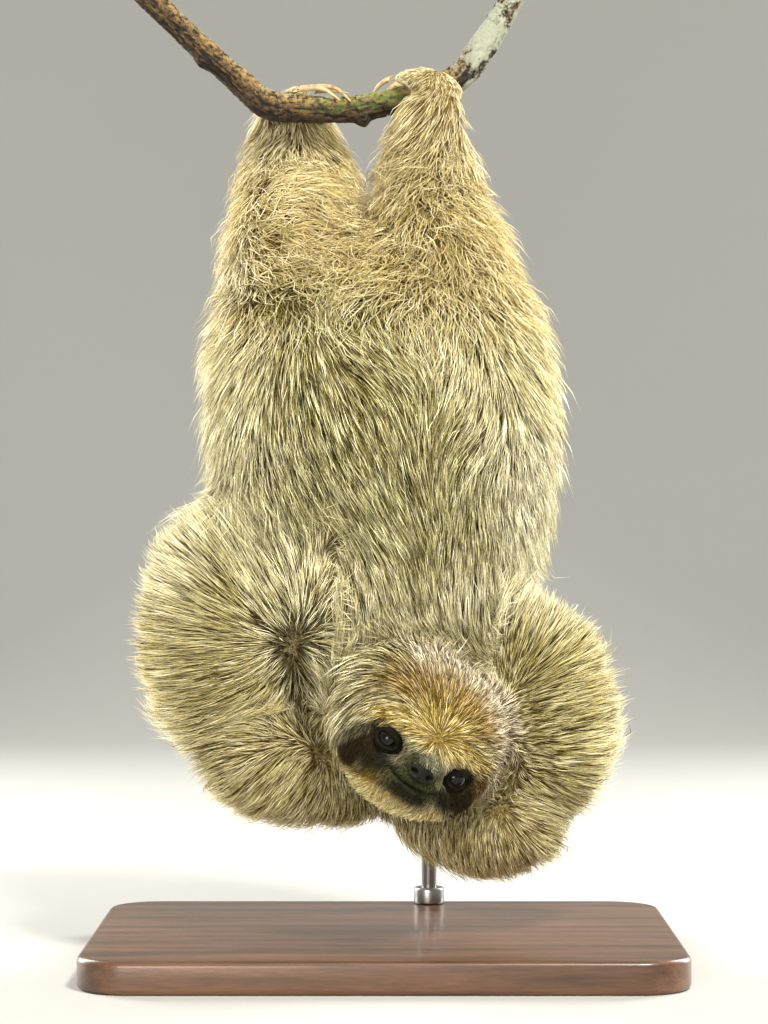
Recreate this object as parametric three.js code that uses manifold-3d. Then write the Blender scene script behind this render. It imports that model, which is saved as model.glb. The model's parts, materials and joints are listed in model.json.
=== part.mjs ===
// A young three-toed sloth hanging head down from a short length of branch by its hind feet.
// Its back faces -Y, its neck is bent back so that the face looks along -Y, and its arms are
// folded on the chest. A flat base with an upright and an arm holds the branch.
// Millimetres, +Z up. The origin is on the ground under the middle of the base.
// Every flesh solid reaches out to the tips of the coat.
import * as THREE from 'three';
import { mergeVertices } from 'three/addons/utils/BufferGeometryUtils.js';
import Module from 'manifold-3d';

const wasm = await Module();
wasm.setup();

// ---- Driving sizes ----
const gap = 0.3; // between solids that touch
const base = { width: 290, depth: 220, height: 16, corner: 26, edge: 3 };
const upright = { x: 24, y: 98, radius: 4, socketDepth: 10, top: 440 };
const arm = { radius: 3.2, height: 432.5 };
const stub = { at: [-10.5, -1, 420], radius: 4, tip: 2.2, length: 7 };
const claw = { foot: 2, hand: 2.4, tip: 0.35, flatness: 1.15 };
const eye = { radius: 5.2, at: { x: 18.6, y: -31.2, z: -10 } };
const nose = { at: [0, -49.5, -17], halves: [7.4, 3.6, 5.4] };

// ---- Materials ----
const finish = (r, g, b, roughness, metalness = 0) =>
  new THREE.MeshStandardMaterial({ color: new THREE.Color(r, g, b), roughness, metalness });
const bodyCoat = finish(0.55, 0.44, 0.24, 0.85);
const limbCoat = finish(0.58, 0.45, 0.25, 0.85);
const faceCoat = finish(0.5, 0.36, 0.17, 0.85);
const horn = finish(0.6, 0.48, 0.33, 0.4);
const noseSkin = finish(0.05, 0.055, 0.05, 0.45);
const eyeGloss = finish(0.02, 0.012, 0.008, 0.08);
const bark = finish(0.25, 0.18, 0.11, 0.95);
const walnut = finish(0.12, 0.065, 0.035, 0.45);
const steel = finish(0.3, 0.3, 0.3, 0.35, 1);

// ---- Geometry to solid and back ----
function solidOf(geometry) {
  geometry.deleteAttribute('normal');
  geometry.deleteAttribute('uv');
  const merged = mergeVertices(geometry, 1e-4);
  const triVerts = new Uint32Array(merged.index.array);
  const vertProperties = new Float32Array(merged.attributes.position.array);
  const make = () => new wasm.Manifold(new wasm.Mesh({ numProp: 3, vertProperties, triVerts }));
  let solid = make();
  if (solid.volume() < 0) {
    for (let i = 0; i < triVerts.length; i += 3) {
      [triVerts[i + 1], triVerts[i + 2]] = [triVerts[i + 2], triVerts[i + 1]];
    }
    solid = make();
  }
  return solid;
}

function geometryOf(solid) {
  const mesh = solid.getMesh();
  const positions = new Float32Array(mesh.numVert * 3);
  for (let i = 0; i < mesh.numVert; i += 1) {
    positions.set(mesh.vertProperties.subarray(i * mesh.numProp, i * mesh.numProp + 3), i * 3);
  }
  const geometry = new THREE.BufferGeometry();
  geometry.setAttribute('position', new THREE.BufferAttribute(positions, 3));
  geometry.setIndex(new THREE.BufferAttribute(new Uint32Array(mesh.triVerts), 1));
  geometry.computeVertexNormals();
  return geometry;
}

const largestPiece = (solid) => solid.decompose().sort((a, b) => b.volume() - a.volume())[0];
const cutBy = (solid, neighbours) => largestPiece(neighbours.reduce((rest, n) => rest.subtract(n), solid));

function add(group, name, solid, material) {
  const mesh = new THREE.Mesh(geometryOf(solid), material);
  mesh.name = name;
  group.add(mesh);
}

// A rounded body along a smooth path: a unit sphere whose latitude runs along the path and whose
// longitude runs round an oval section. Each station is [x, y, z, halfWidth, halfDepth]; halfDepth
// lies along depthAxis as nearly as the path allows, and roundEnds is the share of the path that
// the two rounded ends take.
function bodyAlong(stations, options = {}) {
  const { sides = 20, rings = 12, roundEnds = 0.6, grow = 0, depthAxis = [0, 1, 0] } = options;
  const path = new THREE.CatmullRomCurve3(stations.map(([x, y, z]) => new THREE.Vector3(x, y, z)));
  const sizes = new THREE.CatmullRomCurve3(stations.map(([, , , w, d]) => new THREE.Vector3(w, d, 0)));
  const reference = new THREE.Vector3(...depthAxis);
  const ball = new THREE.SphereGeometry(1, sides, rings);
  const at = ball.attributes.position;
  const p = new THREE.Vector3();
  for (let i = 0; i < at.count; i += 1) {
    p.fromBufferAttribute(at, i);
    const share = THREE.MathUtils.clamp((1 - p.y) / 2, 0, 1);
    const towardsEnd = Math.max(0, (Math.abs(2 * share - 1) - (1 - roundEnds)) / roundEnds);
    const fullness = Math.sqrt(Math.max(0, 1 - towardsEnd ** 2));
    const centre = path.getPoint(share);
    const along = path.getTangent(share);
    const wide = new THREE.Vector3().crossVectors(reference, along).normalize();
    const deep = new THREE.Vector3().crossVectors(along, wide);
    const size = sizes.getPoint(share);
    const angle = Math.atan2(p.z, p.x);
    const spread = Math.hypot(p.x, p.z) > 1e-9 ? fullness : 0;
    centre.addScaledVector(wide, Math.cos(angle) * spread * (size.x + grow));
    centre.addScaledVector(deep, Math.sin(angle) * spread * (size.y + grow));
    centre.addScaledVector(along, Math.sign(share - 0.5) * grow * (towardsEnd > 0 ? 1 : 0) * towardsEnd);
    at.setXYZ(i, centre.x, centre.y, centre.z);
  }
  return solidOf(ball);
}

// A flesh part keeps its stations, so that it can be made a gap larger to cut its neighbours.
const part = (stations, options = {}) => ({
  solid: () => bodyAlong(stations, options),
  cutter: () => bodyAlong(stations, { ...options, grow: gap }),
});

// ---- Head: a round ball with named swellings and hollows, in its own frame, face towards -Y ----
const head = {
  at: new THREE.Vector3(16.6, -50, 117.4),
  roll: 31, // the crown leans towards +X
  yaw: 10.5, // the face turns towards +X
  pitch: -5, // the face lifts
  halfWidth: 44.5,
  halfDepth: 43,
  halfHeight: 43,
};
const headForms = [
  { form: 'muzzle', towards: [0, -38, -21], height: 7.5, reach: 22 },
  { form: 'nose', towards: [0, -49, -17], height: 2.5, reach: 9 },
  { form: 'chin', towards: [0, -33, -31], height: 2.5, reach: 14 },
  { form: 'right cheek', towards: [-34, -22, -22], height: 1, reach: 24 },
  { form: 'left cheek', towards: [34, -22, -22], height: 2.5, reach: 24 },
  { form: 'right orbit', towards: [-19, -32, -10], height: -5.5, reach: 13 },
  { form: 'left orbit', towards: [19, -32, -10], height: -5.5, reach: 13 },
  { form: 'nose bridge', towards: [0, -40, -6], height: -1.5, reach: 13 },
  { form: 'nape hair', towards: [-40, 4, 26], height: 4.5, reach: 34 },
  { form: 'left temple hair', towards: [38, 6, 20], height: 3.5, reach: 38 },
].map(({ towards, ...rest }) => ({ ...rest, towards: new THREE.Vector3(...towards).normalize() }));

function headBall(grow = 0) {
  const ball = new THREE.SphereGeometry(1, 30, 20);
  ball.rotateX(Math.PI / 2); // the poles look forwards and backwards
  const at = ball.attributes.position;
  const direction = new THREE.Vector3();
  for (let i = 0; i < at.count; i += 1) {
    direction.fromBufferAttribute(at, i).normalize();
    const oval = new THREE.Vector3(
      direction.x / head.halfWidth,
      direction.y / head.halfDepth,
      direction.z / head.halfHeight,
    );
    let radius = 1 / oval.length() + grow;
    for (const { towards, height, reach } of headForms) {
      const angle = THREE.MathUtils.radToDeg(direction.angleTo(towards));
      radius += height * Math.exp(-((angle / reach) ** 2));
    }
    at.setXYZ(i, direction.x * radius, direction.y * radius, direction.z * radius);
  }
  return solidOf(ball);
}

const ballAt = (radius, x, y, z, sides = 12, rings = 8) =>
  solidOf(new THREE.SphereGeometry(radius, sides, rings).translate(x, y, z));

function nosePad(grow = 0) {
  const pad = new THREE.SphereGeometry(1, 12, 7);
  pad.scale(...nose.halves.map((half) => half + grow));
  return solidOf(pad.translate(...nose.at));
}

const headGroup = new THREE.Group();
headGroup.position.copy(head.at);
headGroup.rotation.order = 'YZX';
headGroup.rotation.set(
  THREE.MathUtils.degToRad(head.pitch),
  THREE.MathUtils.degToRad(head.roll),
  THREE.MathUtils.degToRad(head.yaw),
);
headGroup.updateMatrixWorld(true);
const inWorld = (solid) => solid.transform(headGroup.matrixWorld.elements);

const eyes = [-1, 1].map((side) => ballAt(eye.radius, side * eye.at.x, eye.at.y, eye.at.z));
const sockets = [-1, 1].map((side) => ballAt(eye.radius + gap, side * eye.at.x, eye.at.y, eye.at.z));
const headSolid = cutBy(headBall(), [...sockets, nosePad(gap)]);
const headCutter = inWorld(headBall(gap));

// ---- Trunk, neck and tail ----
const trunk = part([
  [-8, 2, 380, 34, 26], // rump
  [-9, 3, 346, 78, 58], // hips
  [-5, 6, 308, 90, 73], // loins
  [-1, 8, 272, 93, 77], // belly
  [-1, 7, 238, 92, 74], // ribs
  [0, 3, 205, 86, 66], // chest
  [3, -2, 172, 78, 57], // shoulders
  [6, -6, 142, 62, 46], // base of the neck
  [6, -8, 108, 50, 36],
], { sides: 22, rings: 15, roundEnds: 0.42 });
const neck = part([
  [8, 2, 150, 30, 30],
  [10, -4, 122, 38, 38],
  [14, -18, 100, 36, 36],
  [16, -32, 92, 24, 26],
], { sides: 14, rings: 7, roundEnds: 0.7 });
const tail = part([
  [-9, 24, 374, 9, 9],
  [-9, 34, 376, 12, 9],
  [-10, 46, 370, 12, 9],
  [-10, 56, 358, 8, 7],
], { sides: 10, rings: 7, roundEnds: 0.7, depthAxis: [0, 0, 1] });

// ---- Legs: right is -X, because the animal hangs with its back to -Y ----
const thighs = {
  right: part([
    [-44, 8, 296, 20, 30],
    [-45, 8, 322, 38, 50],
    [-45, 10, 350, 39, 50],
    [-43, 16, 378, 33, 40],
    [-43, 20, 396, 22, 26],
  ], { sides: 16, rings: 10, roundEnds: 0.5 }),
  left: part([
    [40, 4, 296, 22, 30],
    [36, 2, 322, 38, 50],
    [29, -2, 350, 36, 48],
    [24, -6, 378, 29, 36],
    [23, -8, 396, 20, 24],
  ], { sides: 16, rings: 10, roundEnds: 0.5 }),
};
const shins = {
  right: part([
    [-44, 18, 362, 32, 32],
    [-44, 22, 390, 33, 26],
    [-46, 24, 410, 26, 17],
    [-46, 22, 424, 22, 12],
    [-46, 21, 434, 18, 9],
  ], { sides: 14, rings: 9, roundEnds: 0.3 }),
  left: part([
    [24, -6, 362, 30, 32],
    [22, -11, 392, 27, 25],
    [22, -18, 410, 21, 17],
    [23, -22, 422, 19, 13],
    [23, -22, 432, 17, 11],
  ], { sides: 14, rings: 9, roundEnds: 0.3 }),
};
const feet = {
  right: part([
    [-54, 18, 420, 9, 9],
    [-50, 14, 429, 11, 7],
    [-43, 6, 435.2, 9, 4],
    [-36, 0.5, 435.8, 6, 2.8],
  ], { sides: 10, rings: 7, roundEnds: 0.5, depthAxis: [0, 0, 1] }),
  left: part([
    [28, -18, 424, 15, 11],
    [26, -13, 435, 16, 10],
    [17, -3, 441, 15, 6],
    [3, 4.5, 440, 9, 4.2],
  ], { sides: 10, rings: 7, roundEnds: 0.5, depthAxis: [0, 0, 1] }),
};

// ---- Arms, folded: elbows out and down, wrists crossed under the throat ----
const upperArms = {
  right: part([
    [-66, 2, 240, 20, 24],
    [-74, 0, 212, 40, 38],
    [-80, -2, 176, 47, 44],
    [-81, -4, 140, 45, 42],
    [-80, -4, 96, 33, 33],
  ], { sides: 16, rings: 11, roundEnds: 0.62 }),
  left: part([
    [50, 2, 208, 12, 18],
    [60, 0, 176, 29, 36],
    [77, -2, 138, 44, 42],
    [79, -4, 102, 43, 41],
    [78, -4, 61, 31, 32],
  ], { sides: 16, rings: 11, roundEnds: 0.62 }),
};
const forearms = {
  right: part([
    [-88, -6, 121, 17, 22],
    [-69, -8, 104, 32, 35],
    [-40, -4, 92, 29, 28],
    [-12, 6, 81, 18, 18],
    [10, 16, 77, 12, 11],
  ], { sides: 14, rings: 10, roundEnds: 0.42 }),
  left: part([
    [87, -6, 88, 17, 22],
    [71, -8, 73, 32, 34],
    [44, -2, 68, 30, 28],
    [18, 14, 72, 20, 18],
    [-4, 32, 80, 12, 11],
  ], { sides: 14, rings: 10, roundEnds: 0.42 }),
};
const hands = {
  right: part([
    [6, 15, 76, 9, 9],
    [20, 26, 82, 12, 9],
    [34, 36, 92, 12, 8],
    [44, 42, 102, 8, 6],
  ], { sides: 10, rings: 7, roundEnds: 0.5 }),
  left: part([
    [-4, 34, 81, 9, 9],
    [-18, 44, 88, 12, 9],
    [-32, 50, 98, 12, 8],
    [-42, 52, 108, 8, 6],
  ], { sides: 10, rings: 7, roundEnds: 0.5 }),
};

// ---- Claws: three to each limb, each a curved cone from its root over its crown to its tip ----
function clawAlong(root, crown, tip, radius) {
  const bare = [root, crown, tip].map((p) => new THREE.Vector3(...p));
  const curve = new THREE.CatmullRomCurve3(bare);
  const cone = new THREE.CylinderGeometry(claw.tip, radius, 1, 6, 5);
  const at = cone.attributes.position;
  const up = new THREE.Vector3(0, 1, 0.3).normalize();
  for (let i = 0; i < at.count; i += 1) {
    const share = THREE.MathUtils.clamp(at.getY(i) + 0.5, 0, 1);
    const thick = Math.hypot(at.getX(i), at.getZ(i)) > 1e-9 ? radius + (claw.tip - radius) * share ** 1.6 : 0;
    const angle = Math.atan2(at.getZ(i), at.getX(i));
    const along = curve.getTangent(share);
    const side = new THREE.Vector3().crossVectors(up, along).normalize();
    const over = new THREE.Vector3().crossVectors(along, side);
    const p = curve.getPoint(share);
    p.addScaledVector(side, Math.cos(angle) * thick);
    p.addScaledVector(over, Math.sin(angle) * thick * claw.flatness);
    at.setXYZ(i, p.x, p.y, p.z);
  }
  return solidOf(cone);
}

const fanned = ([root, crown, tip], step) =>
  [-1, 0, 1].map((place) => [root, crown, tip].map((p) => p.map((v, i) => v + place * step[i])));
const clawSets = {
  right_foot: {
    radius: claw.foot,
    claws: [
      [[-42, -2.4, 435.8], [-31, -4.8, 435.8], [-21.8, -7.6, 429.2]],
      [[-38, 2.4, 436.8], [-25, -0.2, 436.8], [-16.4, -6.8, 428.8]],
      [[-37, 7.2, 436.2], [-27, 4.8, 436], [-17.5, 1.6, 434]],
    ],
  },
  left_foot: {
    radius: claw.foot,
    claws: [
      [[8, 2.5, 442.2], [-1.5, 5, 439.7], [-7.5, 8.2, 430.5]],
      [[9, 7.4, 440.6], [2, 9.6, 436.4], [-3, 8.8, 426.5]],
      [[14, 11.6, 439], [8, 12.6, 433], [2.5, 9.4, 423.5]],
    ],
  },
  right_hand: {
    radius: claw.hand,
    claws: fanned([[42, 43, 102], [54, 52, 112], [62, 48, 126]], [-5, 0, 5]),
  },
  left_hand: {
    radius: claw.hand,
    claws: fanned([[-40, 52, 108], [-52, 58, 120], [-62, 51, 136]], [5.4, 0, 4.4]),
  },
};

// ---- Branch: a knobbly length, dipping in the middle, with a broken stub below ----
const branchPath = [
  [-126, 4, 491.5, 6.2],
  [-115.8, 3, 480.5, 6.3],
  [-95.5, 2, 460.5, 6.1],
  [-74.5, 1, 441.8, 6.5],
  [-59, 0, 428.6, 7.4],
  [-42, 0, 426, 7.1],
  [-22, 0, 425.5, 6.6],
  [-4.5, 0, 428, 6.6],
  [18, 0, 432.8, 6.7],
  [38, 0, 442.5, 7.1],
  [51.5, 1, 460.5, 7],
  [63.5, 2, 480.5, 5.8],
  [69, 3, 490, 5.6],
];
function branchSolid(grow = 0) {
  const curve = new THREE.CatmullRomCurve3(branchPath.map(([x, y, z]) => new THREE.Vector3(x, y, z)));
  const girth = new THREE.CatmullRomCurve3(branchPath.map(([, , , r]) => new THREE.Vector3(r, 0, 0)));
  const log = new THREE.CylinderGeometry(1, 1, 1, 10, 20);
  const at = log.attributes.position;
  const back = new THREE.Vector3(0, 1, 0);
  for (let i = 0; i < at.count; i += 1) {
    const share = THREE.MathUtils.clamp(at.getY(i) + 0.5, 0, 1);
    const angle = Math.atan2(at.getZ(i), at.getX(i));
    const on = Math.hypot(at.getX(i), at.getZ(i)) > 1e-9 ? 1 : 0;
    const lump = 1 + 0.05 * Math.sin(share * 31 + angle * 2) + 0.04 * Math.sin(share * 67 - angle);
    const radius = on * (girth.getPoint(share).x * lump + grow);
    const along = curve.getTangent(share);
    const side = new THREE.Vector3().crossVectors(back, along).normalize();
    const deep = new THREE.Vector3().crossVectors(along, side);
    const p = curve.getPoint(share);
    p.addScaledVector(side, Math.cos(angle) * radius);
    p.addScaledVector(deep, Math.sin(angle) * radius);
    at.setXYZ(i, p.x, p.y, p.z);
  }
  const broken = new THREE.CylinderGeometry(stub.tip + grow, stub.radius + grow, stub.length, 8)
    .rotateX(-Math.PI / 2)
    .rotateY(0.2)
    .translate(...stub.at);
  return solidOf(log).add(solidOf(broken));
}

// ---- Stand ----
function standBase() {
  const { width, depth, height, corner, edge } = base;
  const w = width / 2 - edge;
  const d = depth / 2 - edge;
  const outline = new THREE.Shape();
  outline.moveTo(-w + corner, -d);
  outline.lineTo(w - corner, -d);
  outline.absarc(w - corner, -d + corner, corner, -Math.PI / 2, 0);
  outline.lineTo(w, d - corner);
  outline.absarc(w - corner, d - corner, corner, 0, Math.PI / 2);
  outline.lineTo(-w + corner, d);
  outline.absarc(-w + corner, d - corner, corner, Math.PI / 2, Math.PI);
  outline.lineTo(-w, -d + corner);
  outline.absarc(-w + corner, -d + corner, corner, Math.PI, Math.PI * 1.5);
  const slab = new THREE.ExtrudeGeometry(outline, {
    depth: height - 2 * edge,
    bevelEnabled: true,
    bevelThickness: edge,
    bevelSize: edge,
    bevelSegments: 2,
    curveSegments: 5,
  }).translate(0, 0, edge);
  const bore = upright.radius + gap;
  const socket = new THREE.CylinderGeometry(bore, bore, upright.socketDepth * 2, 16)
    .rotateX(Math.PI / 2)
    .translate(upright.x, upright.y, height);
  return solidOf(slab).subtract(solidOf(socket));
}

function uprightRod() {
  const bottom = base.height - upright.socketDepth + gap;
  const rod = new THREE.CylinderGeometry(upright.radius, upright.radius, upright.top - bottom, 14)
    .rotateX(Math.PI / 2)
    .translate(upright.x, upright.y, (upright.top + bottom) / 2);
  return solidOf(rod);
}

function armRod(branchCutter) {
  const length = upright.y - upright.radius - gap;
  const rod = new THREE.CylinderGeometry(arm.radius, arm.radius, length, 12)
    .translate(upright.x, length / 2, arm.height);
  return cutBy(solidOf(rod), [branchCutter]);
}

// ---- Assembly: each part is cut by the ones before it ----
const sloth = new THREE.Group();
sloth.add(headGroup);
add(headGroup, 'head', headSolid, faceCoat);
add(headGroup, 'nose', nosePad(), noseSkin);
add(headGroup, 'eye_right', eyes[0], eyeGloss);
add(headGroup, 'eye_left', eyes[1], eyeGloss);

const branchCutter = branchSolid(gap);
add(sloth, 'perch_branch', branchSolid(), bark);

const cutters = [headCutter, branchCutter];
const addFlesh = (name, { solid, cutter }, material) => {
  add(sloth, name, cutBy(solid(), cutters), material);
  cutters.push(cutter());
};
addFlesh('trunk', trunk, bodyCoat);
addFlesh('neck', neck, bodyCoat);
for (const side of ['right', 'left']) {
  addFlesh(`thigh_${side}`, thighs[side], limbCoat);
  addFlesh(`shin_${side}`, shins[side], limbCoat);
  addFlesh(`foot_${side}`, feet[side], limbCoat);
  addFlesh(`upper_arm_${side}`, upperArms[side], limbCoat);
}
for (const side of ['right', 'left']) {
  addFlesh(`forearm_${side}`, forearms[side], limbCoat);
  addFlesh(`hand_${side}`, hands[side], limbCoat);
}
addFlesh('tail', tail, bodyCoat);

for (const [limb, { radius, claws }] of Object.entries(clawSets)) {
  claws.forEach(([root, crown, tip], i) => {
    add(sloth, `claw_${limb}_${i + 1}`, cutBy(clawAlong(root, crown, tip, radius), cutters), horn);
  });
}

add(sloth, 'stand_base', standBase(), walnut);
add(sloth, 'stand_upright', uprightRod(), steel);
add(sloth, 'stand_arm', armRod(branchCutter), steel);

export default sloth;
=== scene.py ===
import json
import math

import bpy
import numpy as np
from mathutils import Matrix, Vector, kdtree, noise
from mathutils.bvhtree import BVHTree

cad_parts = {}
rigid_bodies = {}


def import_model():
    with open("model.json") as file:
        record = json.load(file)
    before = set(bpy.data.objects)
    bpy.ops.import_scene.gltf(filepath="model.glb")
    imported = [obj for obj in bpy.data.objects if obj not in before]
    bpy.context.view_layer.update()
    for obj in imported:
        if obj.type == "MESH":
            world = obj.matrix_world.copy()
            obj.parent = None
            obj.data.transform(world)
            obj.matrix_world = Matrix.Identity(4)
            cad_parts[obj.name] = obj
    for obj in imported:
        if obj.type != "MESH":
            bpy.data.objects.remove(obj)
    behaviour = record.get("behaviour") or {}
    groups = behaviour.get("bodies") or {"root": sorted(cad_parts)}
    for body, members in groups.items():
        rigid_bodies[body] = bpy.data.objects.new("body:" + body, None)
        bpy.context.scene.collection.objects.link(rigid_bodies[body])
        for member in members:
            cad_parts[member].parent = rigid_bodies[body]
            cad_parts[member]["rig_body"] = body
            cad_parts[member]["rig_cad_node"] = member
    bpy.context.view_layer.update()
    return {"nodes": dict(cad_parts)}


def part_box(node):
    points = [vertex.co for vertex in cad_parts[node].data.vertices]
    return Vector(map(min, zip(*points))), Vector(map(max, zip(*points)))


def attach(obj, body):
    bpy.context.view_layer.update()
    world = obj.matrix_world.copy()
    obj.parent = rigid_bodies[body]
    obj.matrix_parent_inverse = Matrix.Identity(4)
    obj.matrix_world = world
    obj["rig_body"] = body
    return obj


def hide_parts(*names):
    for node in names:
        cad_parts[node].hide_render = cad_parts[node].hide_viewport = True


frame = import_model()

# ---------------------------------------------------------------------------------------------
# Studio. A level camera looks at the animal's back from a metre and a half away. The floor is a
# pale sheet that curves up into a backdrop, and large soft lights hang over it and behind it.
# ---------------------------------------------------------------------------------------------
mm = 0.001
camera_distance, camera_height = 1500 * mm, 224.5 * mm
half_picture_height = 256 * mm  # what half the picture's height takes in at the branch

bpy.ops.object.camera_add(location=(0, -camera_distance, camera_height), rotation=(math.pi / 2, 0, 0))
camera = bpy.context.object
camera.data.sensor_fit = "VERTICAL"
camera.data.sensor_height = 24
camera.data.lens = 12 * camera_distance / half_picture_height
bpy.context.scene.camera = camera
bpy.context.scene.view_settings.view_transform = "Standard"


def tone(red, green, blue):
    """A colour read off a screen from 0 to 255, as the shader's own linear numbers."""
    parts = [c / 255 for c in (red, green, blue)]
    return tuple([c / 12.92 if c <= 0.04045 else ((c + 0.055) / 1.055) ** 2.4 for c in parts] + [1.0])


def plain_material(name, colour, roughness, metallic=0.0):
    material = bpy.data.materials.new(name)
    material.use_nodes = True
    shader = material.node_tree.nodes["Principled BSDF"]
    shader.inputs["Base Color"].default_value = colour
    shader.inputs["Roughness"].default_value = roughness
    shader.inputs["Metallic"].default_value = metallic
    return material


def begin_material(name, colour, roughness, metallic=0.0):
    """A plain material with what its pattern is wired up by: its nodes, links and shader."""
    material = plain_material(name, colour, roughness, metallic)
    nodes = material.node_tree.nodes
    return material, nodes, material.node_tree.links, nodes["Principled BSDF"]


def clear_selection():
    bpy.ops.object.select_all(action="DESELECT")


def pick(piece):
    """Makes the piece the one that the next operator works on."""
    clear_selection()
    piece.select_set(True)
    bpy.context.view_layer.objects.active = piece
    return piece


def apply_modifier(piece, kind, **settings):
    pick(piece)
    modifier = piece.modifiers.new(kind.lower(), kind)
    for setting, value in settings.items():
        setattr(modifier, setting, value)
    bpy.ops.object.modifier_apply(modifier=modifier.name)


clear_selection()
sweep_width, sweep_front, sweep_back, sweep_height, sweep_bend = 9.0, -3.2, 2.6, 4.5, 1.2
bpy.ops.mesh.primitive_plane_add(size=1)
backdrop = bpy.context.object
backdrop.name = "backdrop"
bpy.ops.object.mode_set(mode="EDIT")
bpy.ops.transform.resize(value=(sweep_width, sweep_back - sweep_front, 1))
bpy.ops.transform.translate(value=(0, (sweep_back + sweep_front) / 2, 0))
bpy.ops.mesh.select_all(action="DESELECT")
bpy.ops.object.mode_set(mode="OBJECT")
for edge in backdrop.data.edges:
    edge.select = all(backdrop.data.vertices[i].co.y > sweep_back - 0.01 for i in edge.vertices)
bpy.ops.object.mode_set(mode="EDIT")
bpy.ops.mesh.select_mode(type="EDGE")
bpy.ops.mesh.extrude_region_move(TRANSFORM_OT_translate={"value": (0, 0, sweep_height)})
bpy.ops.object.mode_set(mode="OBJECT")
apply_modifier(backdrop, "BEVEL", width=sweep_bend, segments=24, limit_method="ANGLE")
bpy.ops.object.shade_smooth()
backdrop.data.materials.append(plain_material("studio_paper", tone(180, 180, 177), 0.9))


def softbox(name, place, aim, size, power, colour):
    bpy.ops.object.light_add(type="AREA", location=place)
    lamp = bpy.context.object
    lamp.name = name
    lamp.data.shape = "RECTANGLE"
    lamp.data.size, lamp.data.size_y = size
    lamp.data.energy = power
    lamp.data.color = colour
    lamp.rotation_euler = (Vector(aim) - Vector(place)).to_track_quat("-Z", "Y").to_euler()


middle = (0, 0, 0.26)
softbox("light_overhead", (0.6, -1.15, 1.7), middle, (0.32, 0.32), 54, (1.0, 0.97, 0.88))
softbox("light_front", (-0.6, -2.1, 0.5), middle, (0.9, 0.85), 30, (1.0, 0.97, 0.9))
softbox("light_rim_right", (1.05, 0.75, 0.66), (0, 0, 0.32), (0.5, 1.1), 30, (1.0, 0.98, 0.93))
softbox("light_rim_left", (-1.05, 0.75, 0.62), (0, 0, 0.32), (0.5, 1.1), 30, (1.0, 0.98, 0.93))

world = bpy.data.worlds.new("studio_air")
world.use_nodes = True
world.node_tree.nodes["Background"].inputs["Color"].default_value = (1.0, 0.98, 0.94, 1)
world.node_tree.nodes["Background"].inputs["Strength"].default_value = 0.46
bpy.context.scene.world = world

# ---------------------------------------------------------------------------------------------
# Skin. One leathery hide without a seam covers the whole animal. It lies inside the outline of the
# coat by as much as the hair stands up there: most on the body, least on the face and the feet.
# ---------------------------------------------------------------------------------------------
flesh = ["head", "nose", "neck", "trunk", "tail"]
for side in ("right", "left"):
    for limb_part in ("thigh", "shin", "foot", "upper_arm", "forearm", "hand"):
        flesh.append(f"{limb_part}_{side}")

coat_depth = {  # how far the skin lies under the tips of the coat, in millimetres
    "head": 4.0, "nose": 0.2, "neck": 4.0, "trunk": 9.0, "tail": 3.0,
    "thigh": 7.0, "shin": 4.5, "foot": 1.3,
    "upper_arm": 9.0, "forearm": 7.5, "hand": 1.8,
}
skin_cell = 2.1  # millimetres between the skin's points


def part_of(node):
    return node.removesuffix("_right").removesuffix("_left")


def edit_all(piece, operator, **settings):
    """Runs a mesh operator on the whole of a piece."""
    pick(piece)
    bpy.ops.object.mode_set(mode="EDIT")
    bpy.ops.mesh.select_all(action="SELECT")
    operator(**settings)
    bpy.ops.object.mode_set(mode="OBJECT")


def copy_of(node):
    """A merged copy of a CAD node, whose own mesh is never touched."""
    clear_selection()
    piece = frame["nodes"][node].copy()
    piece.data = piece.data.copy()
    piece.parent = None
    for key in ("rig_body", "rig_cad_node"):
        if key in piece:
            del piece[key]
    bpy.context.scene.collection.objects.link(piece)
    edit_all(piece, bpy.ops.mesh.remove_doubles, threshold=0.02 * mm)
    return piece


def points_of(mesh):
    points = np.empty(len(mesh.vertices) * 3)
    mesh.vertices.foreach_get("co", points)
    return points.reshape(-1, 3) / mm


def normals_of(mesh):
    normals = np.empty(len(mesh.vertices) * 3)
    mesh.vertices.foreach_get("normal", normals)
    return normals.reshape(-1, 3)


def set_points(mesh, points):
    mesh.vertices.foreach_set("co", (points * mm).ravel())
    mesh.update()


def nearest_part(points):
    """For each point, the number in flesh of the CAD node whose surface is nearest."""
    corners, faces, owner = [], [], []
    for number, node in enumerate(flesh):
        mesh = frame["nodes"][node].data
        mesh.calc_loop_triangles()
        start = len(corners)
        corners += [v.co / mm for v in mesh.vertices]
        faces += [tuple(start + i for i in t.vertices) for t in mesh.loop_triangles]
        owner += [number] * len(mesh.loop_triangles)
    tree = BVHTree.FromPolygons(corners, faces)
    return np.array([owner[tree.find_nearest(p)[2]] for p in points])


def edges_of(mesh):
    pairs = np.empty(len(mesh.edges) * 2, dtype=np.int64)
    mesh.edges.foreach_get("vertices", pairs)
    return pairs.reshape(-1, 2)


def smoothed(values, edges, rounds):
    """Values spread evenly to their neighbours over the mesh, again and again."""
    values = np.asarray(values, dtype=float)
    flat = values.reshape(len(values), -1)
    share = np.bincount(edges.ravel(), minlength=len(flat))[:, None] + 1.0
    for _ in range(rounds):
        total = flat.copy()
        for column in range(flat.shape[1]):
            total[:, column] += np.bincount(edges[:, 0], flat[edges[:, 1], column], len(flat))
            total[:, column] += np.bincount(edges[:, 1], flat[edges[:, 0], column], len(flat))
        flat = total / share
    return flat.reshape(values.shape)


def by_part(table, parts):
    return np.array([table[part_of(node)] for node in flesh], dtype=float)[parts]


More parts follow.
